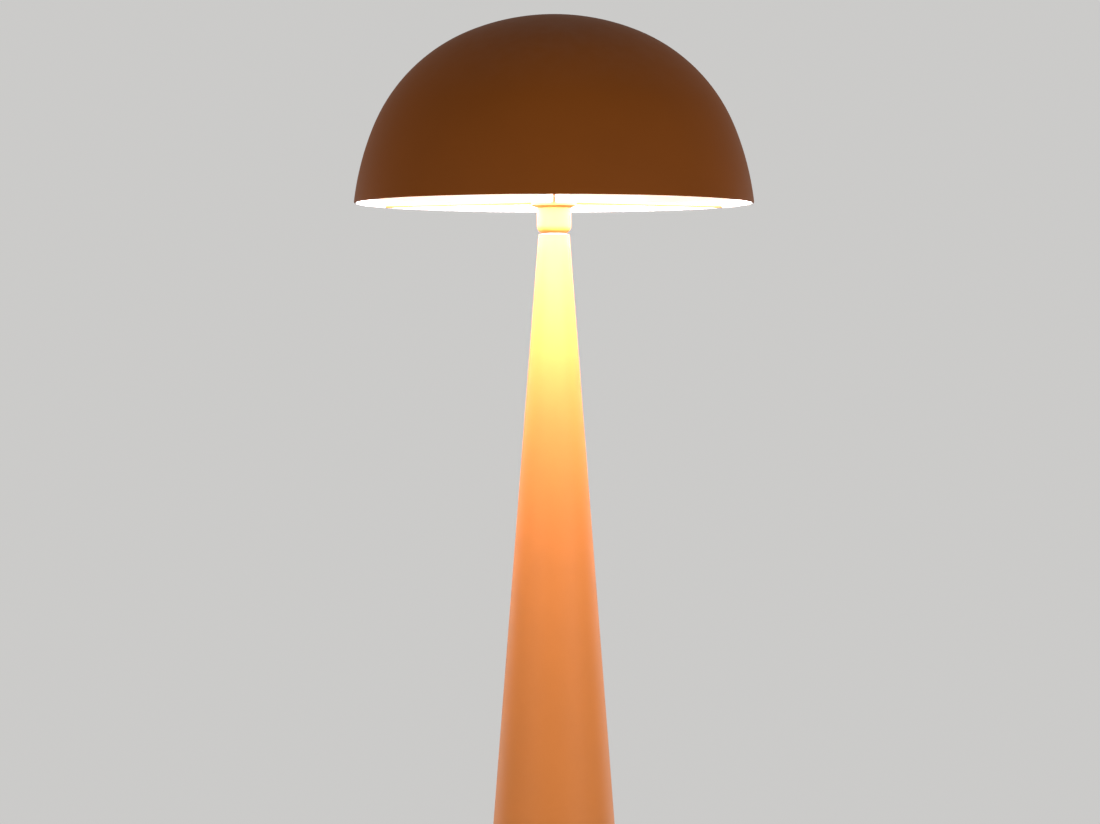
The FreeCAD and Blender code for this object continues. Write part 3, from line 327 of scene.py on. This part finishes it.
# %% finish: cast iron
tree, shader = new_finish("grey_iron", (0.075, 0.073, 0.072), roughness=0.72, drift=0.25, cloud_size=0.008,
                          Metallic=0.6)
raise_relief(tree, shader, placed(tree, fine_grain, Size=0.0011, Fineness=6.0)["Height"], 0.0006)
lay_dust(tree, shader, 0.25)

# %% [markdown]
# Rubber is matt and nearly black, greyer where it is dusty. The lead's sheath is a soft white plastic,
# and the earth wire is half green and half yellow along its length, which a step on the side that a point
# lies on shows well enough for a wire this short.

# %% finish: rubber and sheaths
tree, shader = new_finish("black_rubber", (0.022, 0.022, 0.022), roughness=0.62, drift=0.2,
                          cloud_size=0.006)
raise_relief(tree, shader, placed(tree, fine_grain, Size=0.0007, Fineness=4.0)["Height"], 0.00006)
lay_dust(tree, shader, 0.2)

moulded("lead_sheath", (0.76, 0.75, 0.71), 0.45, 0.0008, 0.00003)

earth_wire_x = sum(corner[0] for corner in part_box("earth_wire")) / 2
tree, shader = new_finish("earth_sheath", (0.07, 0.30, 0.05), roughness=0.4, cloud_size=0.005)
side = add(tree, "ShaderNodeSeparateXYZ", {"Vector": add(tree, "ShaderNodeTexCoord").outputs["Object"]})
is_yellow = add(tree, "ShaderNodeMath", {0: side.outputs["X"], 1: earth_wire_x}, operation="GREATER_THAN")
green = shader.inputs["Base Color"].links[0].from_socket
striped = add(tree, "ShaderNodeMix", {0: is_yellow.outputs[0], 6: green, 7: (0.72, 0.55, 0.03, 1)},
              data_type="RGBA")
tree.links.new(striped.outputs[2], shader.inputs["Base Color"])

# %% [markdown]
# Felt is pressed wool: no weave, but a mat of short fibres that catches light at its edge. Sheen gives the
# edge, and a coarse and a fine noise together give the mat.

# %% finish: felt
tree, shader = new_finish("felt", (0.050, 0.044, 0.038), roughness=0.95, drift=0.35, cloud_size=0.0012,
                          Sheen_Weight=0.6, Sheen_Roughness=0.5)
raise_relief(tree, shader, placed(tree, fine_grain, Size=0.0006, Fineness=8.0)["Height"], 0.0004)

# %% [markdown]
# The bulb is lit. Its opal globe scatters the light so evenly that it glows all over, a little less near
# the collar where the driver board stands in the way. So the globe gives light itself, in a colour that
# falls off towards the bottom, and its strength is one even number.

# %% finish: opal globe
glow_strength, glow_rise = 38.0, 0.018
glow_at_collar, glow_above = (0.62, 0.47, 0.30, 1), (1.0, 0.86, 0.66, 1)
globe_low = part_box("bulb_globe")[0]
tree, shader = new_finish("opal", (0.88, 0.87, 0.83), roughness=0.3, drift=0.01, cloud_size=0.02,
                          Coat_Weight=0.3, Emission_Strength=glow_strength)
level = add(tree, "ShaderNodeSeparateXYZ", {"Vector": add(tree, "ShaderNodeTexCoord").outputs["Object"]})
share = add(tree, "ShaderNodeMapRange", {
    "Value": level.outputs["Z"], "From Min": globe_low.z, "From Max": globe_low.z + glow_rise})
glow = add(tree, "ShaderNodeMix", {0: share.outputs[0], 6: glow_at_collar, 7: glow_above},
           data_type="RGBA")
tree.links.new(glow.outputs[2], shader.inputs["Emission Color"])
print("finishes:", ", ".join(sorted(finishes)))

# %% [markdown]
# The record says which slot each piece takes its finish from, and the finishes above carry the slots'
# names, so one loop dresses every piece of the frame. The shade's carrier hangs in the bulb's full light and
# shows as pale as the column's top, so it wears the stand's paint and not the dome's, whose darker colour is
# painted shade.

# %% dress the frame's pieces
slot_of = {part["node"]: part["material_slot"] for part in frame["record"]["subparts"]}
for name, slot in slot_of.items():
    nodes[name].material_slots[0].material = finishes[slot]
for name in ("spider_hub", "spider_arm_front", "spider_arm_right", "spider_arm_left"):
    nodes[name].material_slots[0].material = finishes["stand_paint"]
print("dressed", len(slot_of), "pieces in", len(set(slot_of.values())), "finishes")

# %% [markdown]
# Most of this lamp is round about its own axis, so a piece is an outline turned round Z. A mesh made by
# code does that exactly: one ring of points for each point of the outline, and one single point where the
# outline meets the axis. A thread is the same mesh with a radius that also depends on the direction: the
# further round, the higher the crest, by one pitch a turn. That keeps a screw thread in one clean skin
# with no cuts, and the bulb's thread and its shell's can share one formula and so stay in mesh.

# %% helpers for turned pieces
def arc(centre, radius, start, stop, steps):
    """Points on an arc from one angle to another, in degrees, as (distance from the axis, height)."""
    angles = [math.radians(start + (stop - start) * i / steps) for i in range(steps + 1)]
    return [(centre[0] + radius * math.cos(a), centre[1] + radius * math.sin(a)) for a in angles]


def straight(start, stop, steps):
    """Points on a straight stretch of an outline, without its last one."""
    return [(start[0] + (stop[0] - start[0]) * i / steps, start[1] + (stop[1] - start[1]) * i / steps)
            for i in range(steps)]


def thread_cut(low, high, pitch, depth, run_out):
    """How deep a rounded right-hand thread is cut at a height and a direction."""
    def cut(height, direction):
        ends = max(0.0, min(1.0, (height - low) / run_out, (high - height) / run_out))
        phase = height / pitch - direction / (2 * math.pi)
        return depth * ends * (0.5 - 0.5 * math.cos(2 * math.pi * phase))
    return cut


def turned(name, outline, body, slot, steps=128, closed=True, cut=None, sharp=35):
    """Turn an outline round the axis, and let the piece ride on a body with a slot's finish."""
    points, rings = [], []
    for radius, height in outline:
        if radius < 1e-6:
            rings.append([len(points)] * steps)
            points.append((0.0, 0.0, height))
            continue
        rings.append(list(range(len(points), len(points) + steps)))
        for i in range(steps):
            direction = 2 * math.pi * i / steps
            reach = radius - (cut(height, direction) if cut else 0.0)
            points.append((reach * math.cos(direction), reach * math.sin(direction), height))
    pairs = list(zip(rings, rings[1:]))
    if closed:
        pairs.append((rings[-1], rings[0]))
    faces = []
    for lower, upper in pairs:
        for i in range(steps):
            j = (i + 1) % steps
            corners = [lower[i], lower[j], upper[j], upper[i]]
            face = [corner for k, corner in enumerate(corners) if corner != corners[k - 1]]
            if len(face) > 2:
                faces.append(face)
    mesh = bpy.data.meshes.new(name)
    mesh.from_pydata(points, [], faces)
    mesh.materials.append(finishes[slot])
    return placed_piece(name, mesh, body, sharp)


def placed_piece(name, mesh, body, sharp=35):
    """Link a mesh as a piece: smooth but for its real edges, riding on a body."""
    mesh.shade_smooth()
    mesh.set_sharp_from_angle(angle=math.radians(sharp))
    piece = bpy.data.objects.new(name, mesh)
    bpy.context.scene.collection.objects.link(piece)
    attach(piece, body)
    return piece


# %% [markdown]
# The dome is spun from sheet over a form, and its shape is three arcs that run into each other: a flat
# crown, a rounder shoulder and an almost straight skirt, with the edge rolled inward into a bead. The crown
# is given; the other two radii follow from two sums, because together the arcs must reach out to the bead
# and down to it. Turning the outline by code gives an even wall and a rim that stays round when it is
# looked at closely, and lets the outside and the inside have a finish each.

# %% the dome's outline
dome_low, dome_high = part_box("shade_dome")
sheet = 0.0012
bead_radius = 0.0018
crown_radius = 0.281
bends = [math.radians(bend) for bend in (22.5, 68.0, 83.3)]
bead_centre = (dome_high.x - bead_radius, dome_low.z + bead_radius)
sines = [math.sin(bend) for bend in bends]
cosines = [math.cos(bend) for bend in bends]
out_left = bead_centre[0] + bead_radius * sines[2] - crown_radius * sines[0]
down_left = dome_high.z - bead_centre[1] - bead_radius * cosines[2] - crown_radius * (1 - cosines[0])
out_steps = (sines[1] - sines[0], sines[2] - sines[1])
down_steps = (cosines[0] - cosines[1], cosines[1] - cosines[2])
whole = out_steps[0] * down_steps[1] - out_steps[1] * down_steps[0]
shoulder_radius = (out_left * down_steps[1] - out_steps[1] * down_left) / whole
skirt_radius = (out_steps[0] * down_left - out_left * down_steps[0]) / whole
radii = [crown_radius, shoulder_radius, skirt_radius]
print("dome radii:", ", ".join(f"{radius * 1000:.1f} mm" for radius in radii))


# %% turn the dome
def dome_side(inset):
    """The three arcs from the apex to the bead, moved in from the outside by an inset."""
    centre = [0.0, dome_high.z - crown_radius]
    side, start = [(0.0, dome_high.z - inset)], 0.0
    for i, (radius, bend) in enumerate(zip(radii, bends)):
        if i > 0:
            centre[0] += (radii[i - 1] - radius) * sines[i - 1]
            centre[1] += (radii[i - 1] - radius) * cosines[i - 1]
        side += arc(centre, radius - inset, 90 - math.degrees(start), 90 - math.degrees(bend), 18)[1:]
        start = bend
    return side


dome_steps = 224
rim_slope = 90 - math.degrees(bends[2])
open_angle = math.degrees(math.acos((bead_radius - sheet) / bead_radius))
outside = dome_side(0.0)
bead = arc(bead_centre, bead_radius, rim_slope, rim_slope + open_angle - 360, 22)[1:]
inside = list(reversed(dome_side(sheet)))[1:]
dome = turned("dome", outside + bead + inside, "shade", "shade_paint", dome_steps, closed=False, sharp=40)
dome.data.materials.append(finishes["inside_white"])

# the bead is coloured down to its lowest point and white from there on
lowest = min(range(len(bead)), key=lambda i: bead[i][1])
first_white = 1 + (len(outside) + lowest - 1) * dome_steps
for face in dome.data.polygons:
    if min(face.vertices) >= first_white:
        face.material_index = 1
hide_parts("shade_dome")
print("dome:", len(dome.data.polygons), "faces")

# %% [markdown]
# The bulb screws into its shell by the usual round thread of a lamp cap. The cap is thin sheet rolled into
# the thread, and so is the shell, a little wider. The pitch is 3.6 mm, the same as the lift of one turn of
# the bulb, so the two threads stay in mesh as it is unscrewed.

# %% the bulb's cap and the screw shell
bulb_pitch, bulb_thread_depth, bulb_run_out = 0.0036, 0.0010, 0.0016
plain_foot, plain_top = 0.0022, 0.001
bulb_rows_per_turn = 14


def rolled_sleeve(name, node, wall, body, slot):
    """A sleeve of thin sheet with the lamp cap's thread rolled into it, in the place of a plain one."""
    low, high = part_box(node)
    cut = thread_cut(low.z + plain_foot, high.z - plain_top, bulb_pitch, bulb_thread_depth, bulb_run_out)
    rows = math.ceil((high.z - low.z) / bulb_pitch * bulb_rows_per_turn)
    up = straight((high.x, low.z), (high.x, high.z), rows) + [(high.x, high.z)]
    down = [(reach - wall, height) for reach, height in reversed(up)]
    sleeve = turned(name, up + down, body, slot, steps=96, cut=cut, sharp=60)
    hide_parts(node)


rolled_sleeve("threaded_cap", "bulb_cap", 0.0005, "bulb", "nickel")
rolled_sleeve("threaded_shell", "screw_shell", 0.00035, "stand", "brass")
print("bulb thread: pitch", bulb_pitch, "depth", bulb_thread_depth)

# %% [markdown]
# Above the cap a collar flares out to the globe. Its plug goes down into the cap and has to stay clear of
# the thread's roots. The flare is eased at both ends, and the globe rests on the collar's lip.

# %% the bulb's collar
collar_low, collar_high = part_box("bulb_collar")
cap_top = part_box("bulb_cap")[1].z
plug_radius, neck_radius, lip_radius = 0.0112, 0.0142, collar_high.x
neck_height, lip_height, bevel = 0.0028, 0.004, 0.0004
flare_low, flare_high = cap_top + neck_height, collar_high.z - lip_height
flare_steps = 24
flare = [(neck_radius, flare_low)]
for i in range(1, flare_steps):
    share = i / flare_steps
    ease = share * share * (3 - 2 * share)
    flare.append((neck_radius + (lip_radius - neck_radius) * ease,
                  flare_low + (flare_high - flare_low) * share))
collar_outline = (
    [(0.0, collar_low.z), (plug_radius, collar_low.z), (plug_radius, cap_top)]
    + [(neck_radius - bevel, cap_top), (neck_radius, cap_top + bevel)] + flare
    + [(lip_radius, flare_high + bevel), (lip_radius, collar_high.z - bevel),
       (lip_radius - bevel, collar_high.z), (0.0, collar_high.z)])
collar = turned("collar", collar_outline, "bulb", "bulb_plastic", steps=96, closed=False, sharp=30)
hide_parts("bulb_collar")
print("collar:", f"{lip_radius * 2000:.1f} mm across its rim")

# %% [markdown]
# The lampholder's skirt is threaded all the way up outside, for the two rings that hold the shade. Its
# crests are the size of the plain skirt, so the rings still fit it.

# %% the threaded skirt
skirt_low, skirt_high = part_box("holder_skirt")
skirt_reach, skirt_wall = skirt_high.x, 0.0024
ring_pitch, ring_thread_depth, ring_run_out = 0.0025, 0.0008, 0.002
ring_rows_per_turn = 12
rim_round = 0.0008
collar_bore, skirt_bore = 0.0146, skirt_reach - skirt_wall
flange_height = skirt_low.z + 0.012
cut_skirt = thread_cut(skirt_low.z + 0.002, skirt_high.z - 0.0015, ring_pitch, ring_thread_depth,
                       ring_run_out)
side_rows = math.ceil((skirt_high.z - skirt_low.z) / ring_pitch * ring_rows_per_turn)
skirt_outline = (
    straight((skirt_reach, skirt_low.z), (skirt_reach, skirt_high.z - rim_round), side_rows)
    + arc((skirt_reach - rim_round, skirt_high.z - rim_round), rim_round, 0, 90, 5)
    + arc((collar_bore + rim_round, skirt_high.z - rim_round), rim_round, 90, 180, 5)
    + [(collar_bore, flange_height), (skirt_bore, flange_height), (skirt_bore, skirt_low.z)])

skirt = turned("threaded_skirt", skirt_outline, "stand", "holder_plastic", steps=120, sharp=50)
for vertex in skirt.data.vertices:
    across = math.hypot(vertex.co.x, vertex.co.y)
    if across > skirt_reach - rim_round / 4:
        depth = cut_skirt(vertex.co.z, math.atan2(vertex.co.y, vertex.co.x))
        vertex.co.x *= (across - depth) / across
        vertex.co.y *= (across - depth) / across
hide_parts("holder_skirt")
print("skirt thread: pitch", ring_pitch, "in", side_rows, "rows")

# %% [markdown]
# Each arm of the shade's carrier is welded to the bead, and the weld shows as a small dark lump under the
# rim. A short drop of metal, wider than the arm and flattened against the bead, is enough.

# %% the welds at the rim
weld_half = Vector((0.0015, 0.0027, 0.00165))
weld_sink, weld_lump, weld_lumps_per_metre = 0.0001, 0.12, 900


def weld(name, arm):
    """A lump of weld where an arm meets the bead, squeezed along the arm."""
    low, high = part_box(arm)
    middle = (low + high) / 2
    direction = Vector((middle.x, middle.y, 0)).normalized()
    centre = direction * (bead_centre[0] - bead_radius - weld_sink)
    centre.z = bead_centre[1]
    rows, steps = 12, 24
    points, faces = [], []
    for i in range(rows + 1):
        for k in range(steps):
            up, round_about = math.pi * i / rows, 2 * math.pi * k / steps
            spot = Vector((math.sin(up) * math.cos(round_about), math.sin(up) * math.sin(round_about),
                           math.cos(up))) * weld_half
            spot *= 1 + weld_lump * noise.noise(spot * weld_lumps_per_metre)
            points.append(centre + Matrix.Rotation(math.atan2(direction.y, direction.x), 3, "Z") @ spot)
    for i in range(rows):
        for k in range(steps):
            j = (k + 1) % steps
            faces.append((i * steps + k, i * steps + j, (i + 1) * steps + j, (i + 1) * steps + k))
    mesh = bpy.data.meshes.new(name)
    mesh.from_pydata(points, [], faces)
    mesh.materials.append(finishes["stand_paint"])
    return placed_piece(name, mesh, "shade", sharp=180)


for side in ("front", "right", "left"):
    weld(f"weld_{side}", f"spider_arm_{side}")

# %% [markdown]
# The column is a cone rolled from sheet, with its cut edges a little rounded by the paint, and one round
# hole low in its back for the grommet. The cone is turned like the other pieces, in rings short enough
# that its faces stay even, and then the hole is drilled the way a fitter would do it: a plain cylinder is
# laid through the back wall, and a Boolean modifier takes it away.

# %% the column
foot_low, foot_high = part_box("column_shell")
foot_radius, top_radius = foot_high.x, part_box("column_cap")[1].x
column_wall, edge_round = 0.0012, 0.0003
wall_rows = 60
outer = straight((foot_radius, foot_low.z + edge_round), (top_radius, foot_high.z - edge_round), wall_rows)
outer_top = arc((top_radius - edge_round, foot_high.z - edge_round), edge_round, 0, 90, 4)
inner = straight((top_radius - column_wall, foot_high.z), (foot_radius - column_wall, foot_low.z), wall_rows)
outer_foot = arc((foot_radius - edge_round, foot_low.z + edge_round), edge_round, -90, 0, 4)[:-1]
column = turned("column", outer + outer_top + inner + [(foot_radius - column_wall, foot_low.z)] + outer_foot,
                "stand", "stand_paint", steps=256)

# %% drill the hole for the grommet
grommet_low, grommet_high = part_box("cable_grommet")
hole_radius, hole_steps = 0.0055, 64
drill_length, drill_lead = 0.03, 0.01
hole_height = (grommet_low.z + grommet_high.z) / 2
drill_outline = [(0.0, 0.0), (hole_radius, 0.0), (hole_radius, drill_length), (0.0, drill_length)]
drill = turned("drill", drill_outline, "stand", "stand_paint", hole_steps, closed=False)
drill.data.transform(Matrix.Translation((0.0, grommet_low.y - drill_lead, hole_height))
                     @ Matrix.Rotation(-math.pi / 2, 4, "X"))
cutter = column.modifiers.new("grommet_hole", "BOOLEAN")
cutter.operation = "DIFFERENCE"
cutter.solver = "EXACT"
cutter.object = drill
drilled = bpy.data.meshes.new_from_object(column.evaluated_get(bpy.context.evaluated_depsgraph_get()))
column.modifiers.clear()
column.data = drilled
bpy.data.objects.remove(drill)
drilled.set_sharp_from_angle(angle=math.radians(35))
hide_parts("column_shell")
print("column:", len(drilled.polygons), "faces with its hole")

# %% [markdown]
# The felt pads under the foot are cut from pressed felt, so their edges are soft and a little ragged. Each
# is a turned disc whose skin is pushed in and out by noise, but never past the plain disc it stands for.

# %% the felt pads
pad_low, pad_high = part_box("felt_pads")
pad_radius, pad_round, pad_count = 0.012, 0.0008, 4
pad_ring = (pad_high.x - pad_radius) * math.sqrt(2)
ragged_depth, ragged_spots_per_metre = 0.0006, 1400


def felt_pad(name, angle):
    """One felt disc, its edge rounded and ragged, at an angle round the foot."""
    top, foot = pad_high.z, pad_low.z
    flat = straight((0.0, foot), (pad_radius - pad_round, foot), 8)
    edge = (arc((pad_radius - pad_round, foot + pad_round), pad_round, -90, 0, 4)
            + arc((pad_radius - pad_round, top - pad_round), pad_round, 0, 90, 4))
    lid = [(reach, top) for reach, _ in reversed(flat)]
    pad = turned(name, flat + edge + lid, "stand", "felt", steps=64, closed=False, sharp=180)
    centre = Vector((pad_ring * math.cos(angle), pad_ring * math.sin(angle), 0))
    for vertex in pad.data.vertices:
        across = math.hypot(vertex.co.x, vertex.co.y)
        rise_and_fall = noise.noise((vertex.co + centre) * ragged_spots_per_metre)
        ragged = ragged_depth * (0.5 + 0.5 * rise_and_fall) * across / pad_radius
        vertex.co.x *= 1 - ragged / max(across, 1e-6)
        vertex.co.y *= 1 - ragged / max(across, 1e-6)
        vertex.co += centre
    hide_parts("felt_pads")


for i in range(pad_count):
    felt_pad(f"felt_pad_{i + 1}", math.radians(45 + 360 / pad_count * i))
print("felt pads on a circle of", round(pad_ring * 2000, 1), "mm")

# %% [markdown]
# The floor is plain and pale. It is a wide disc, so from any side the lamp stands on it, and far out its
# colour fades into the background, so that it shows no edge. The fade is by distance from the lamp, so it
# lies still when the camera moves. Its underside is clear, so that the lamp can be looked at from below.

# %% the floor
background = (0.60, 0.595, 0.585, 1)
floor_tone = (0.80, 0.795, 0.78, 1)
floor_radius, floor_steps = 5.0, 96
fade_from, fade_to = 0.5, 2.4
turns = [2 * math.pi * i / floor_steps for i in range(floor_steps)]
floor_mesh = bpy.data.meshes.new("floor")
floor_mesh.from_pydata([(floor_radius * math.cos(turn), floor_radius * math.sin(turn), 0.0)
                        for turn in turns], [], [tuple(range(floor_steps))])
floor = bpy.data.objects.new("floor", floor_mesh)
bpy.context.scene.collection.objects.link(floor)
floor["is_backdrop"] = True
floor_material = bpy.data.materials.new("pale_floor")
floor_material.use_nodes = True
tree = floor_material.node_tree
tree.nodes.clear()
place = add(tree, "ShaderNodeTexCoord").outputs["Object"]
distance = add(tree, "ShaderNodeVectorMath", {0: place}, operation="LENGTH").outputs["Value"]
fade = add(tree, "ShaderNodeMapRange", {"Value": distance, "From Min": fade_from, "From Max": fade_to},
           interpolation_type="SMOOTHSTEP")
pale = add(tree, "ShaderNodeBsdfDiffuse", {"Color": floor_tone})
far = add(tree, "ShaderNodeEmission", {"Color": background})
top = add(tree, "ShaderNodeMixShader", {0: fade.outputs[0], 1: pale.outputs[0], 2: far.outputs[0]})
from_below = add(tree, "ShaderNodeNewGeometry").outputs["Backfacing"]
clear = add(tree, "ShaderNodeBsdfTransparent")
mixed = add(tree, "ShaderNodeMixShader", {0: from_below, 1: top.outputs[0], 2: clear.outputs[0]})
add(tree, "ShaderNodeOutputMaterial", {"Surface": mixed.outputs[0]})
floor_mesh.materials.append(floor_material)

# %% [markdown]
# The background is the world itself. What the camera, a gloss or a glass sees of it is a pale grey. What
# lights the lamp is darker, and darkest overhead, so that the dome's crown stays deeper than its rim.

# %% the world
ambient_level, ambient_overhead = 0.62, 0.20
world = bpy.data.worlds.new("studio")
bpy.context.scene.world = world
world.use_nodes = True
tree = world.node_tree
tree.nodes.clear()
path = add(tree, "ShaderNodeLightPath").outputs
seen = add(tree, "ShaderNodeMath", {0: path["Is Camera Ray"], 1: path["Is Glossy Ray"]},
           operation="MAXIMUM")
seen = add(tree, "ShaderNodeMath", {0: seen.outputs[0], 1: path["Is Transmission Ray"]},
           operation="MAXIMUM")
shown = add(tree, "ShaderNodeBackground", {"Color": background})
direction = add(tree, "ShaderNodeTexCoord").outputs["Generated"]
level = add(tree, "ShaderNodeSeparateXYZ", {"Vector": direction}).outputs["Z"]
dimmed = add(tree, "ShaderNodeMapRange", {
    "Value": level, "To Min": ambient_level, "To Max": ambient_overhead})
ambient = add(tree, "ShaderNodeBackground", {"Color": dimmed.outputs[0]})
mixed = add(tree, "ShaderNodeMixShader", {0: seen.outputs[0], 1: ambient.outputs[0], 2: shown.outputs[0]})
add(tree, "ShaderNodeOutputWorld", {"Surface": mixed.outputs[0]})

# %% [markdown]
# Soft boxes light the lamp plainly from its four corners, so that no side is left dark, and the front right
# one is the strongest. They stand low, because the dome is darker towards its top and brighter towards its
# lower right. None of them is seen by the camera.

# %% soft boxes
box_reach, box_height, box_size = 2.5, 0.6, 1.8
lamp_middle = Vector((0.0, 0.0, 0.9))


def soft_box(name, across, ahead, watts):
    """A square area lamp in a corner, turned towards the lamp's middle, unseen by the camera."""
    place = Vector((across * box_reach, ahead * box_reach, box_height))
    light = bpy.data.lights.new(name, "AREA")
    light.shape = "SQUARE"
    light.size = box_size
    light.energy = watts
    lamp = bpy.data.objects.new(name, light)
    bpy.context.scene.collection.objects.link(lamp)
    lamp.location = place
    lamp.rotation_euler = (lamp_middle - place).to_track_quat("-Z", "Y").to_euler()
    lamp.visible_camera = False


soft_box("front_right_box", 1, -1, 62.0)
soft_box("front_left_box", -1, -1, 40.0)
soft_box("back_right_box", 1, 1, 28.0)
soft_box("back_left_box", -1, 1, 28.0)

# %% [markdown]
# The lit bulb fills the dome with light, and the dome's mouth pours it down the column: nearly white at
# the top, yellow below, and then the paint's own orange. Following every bounce inside the dome would take
# many samples, so round lamps in the mouth, facing down, do the same for the pieces below it: a wide one
# for the white inside of the dome, and a small one for the bulb. The small one is stronger and cooler,
# because the orange paint swallows blue and the column's top should still turn out creamy. Both shine on
# the lamp alone, and the floor stays plain.

# %% the light from the dome's mouth
mouth_rise = 0.0095
lit_by_mouth = bpy.data.collections.new("lit_by_mouth")
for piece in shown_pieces():
    lit_by_mouth.objects.link(piece)


def mouth_light(name, radius, radiance, colour):
    """A round lamp in the dome's mouth, facing down: its power is its radiance times pi times its area."""
    light = bpy.data.lights.new(name, "AREA")
    light.shape = "DISK"
    light.size = 2 * radius
    light.color = colour
    light.energy = radiance * math.pi * math.pi * radius ** 2
    lamp = bpy.data.objects.new(name, light)
    bpy.context.scene.collection.objects.link(lamp)
    lamp.location = (0.0, 0.0, dome_low.z + mouth_rise)
    lamp.visible_camera = False
    lamp.light_linking.receiver_collection = lit_by_mouth


mouth_light("dome_glow", radius=bead_centre[0] - 0.004, radiance=30.0, colour=(1.0, 0.88, 0.94))
mouth_light("bulb_glow", radius=0.09, radiance=230.0, colour=(0.90, 0.84, 1.0))

# %% [markdown]
# The photograph was taken level, from about a metre up and far away, through a long lens: the dome's rim is
# seen from just below, and the foot is out of the picture. The lens follows from the scale: at the lamp's
# axis a pixel is 1.25 mm.

# %% the camera
picture_width = 1100
pixel = 0.00125
distance, sideways, eye_height = 5.64, -0.005, 1.0035
sensor_width = 36.0
camera = bpy.data.cameras.new("camera")
camera.sensor_width = sensor_width
camera.lens = sensor_width * distance / (picture_width * pixel)
camera_object = bpy.data.objects.new("camera", camera)
bpy.context.scene.collection.objects.link(camera_object)
camera_object.location = (sideways, -distance, eye_height)
camera_object.rotation_euler = (math.pi / 2, 0.0, 0.0)
bpy.context.scene.camera = camera_object
bpy.context.scene.view_settings.view_transform = "Standard"
print(f"lens {camera.lens:.1f} mm")
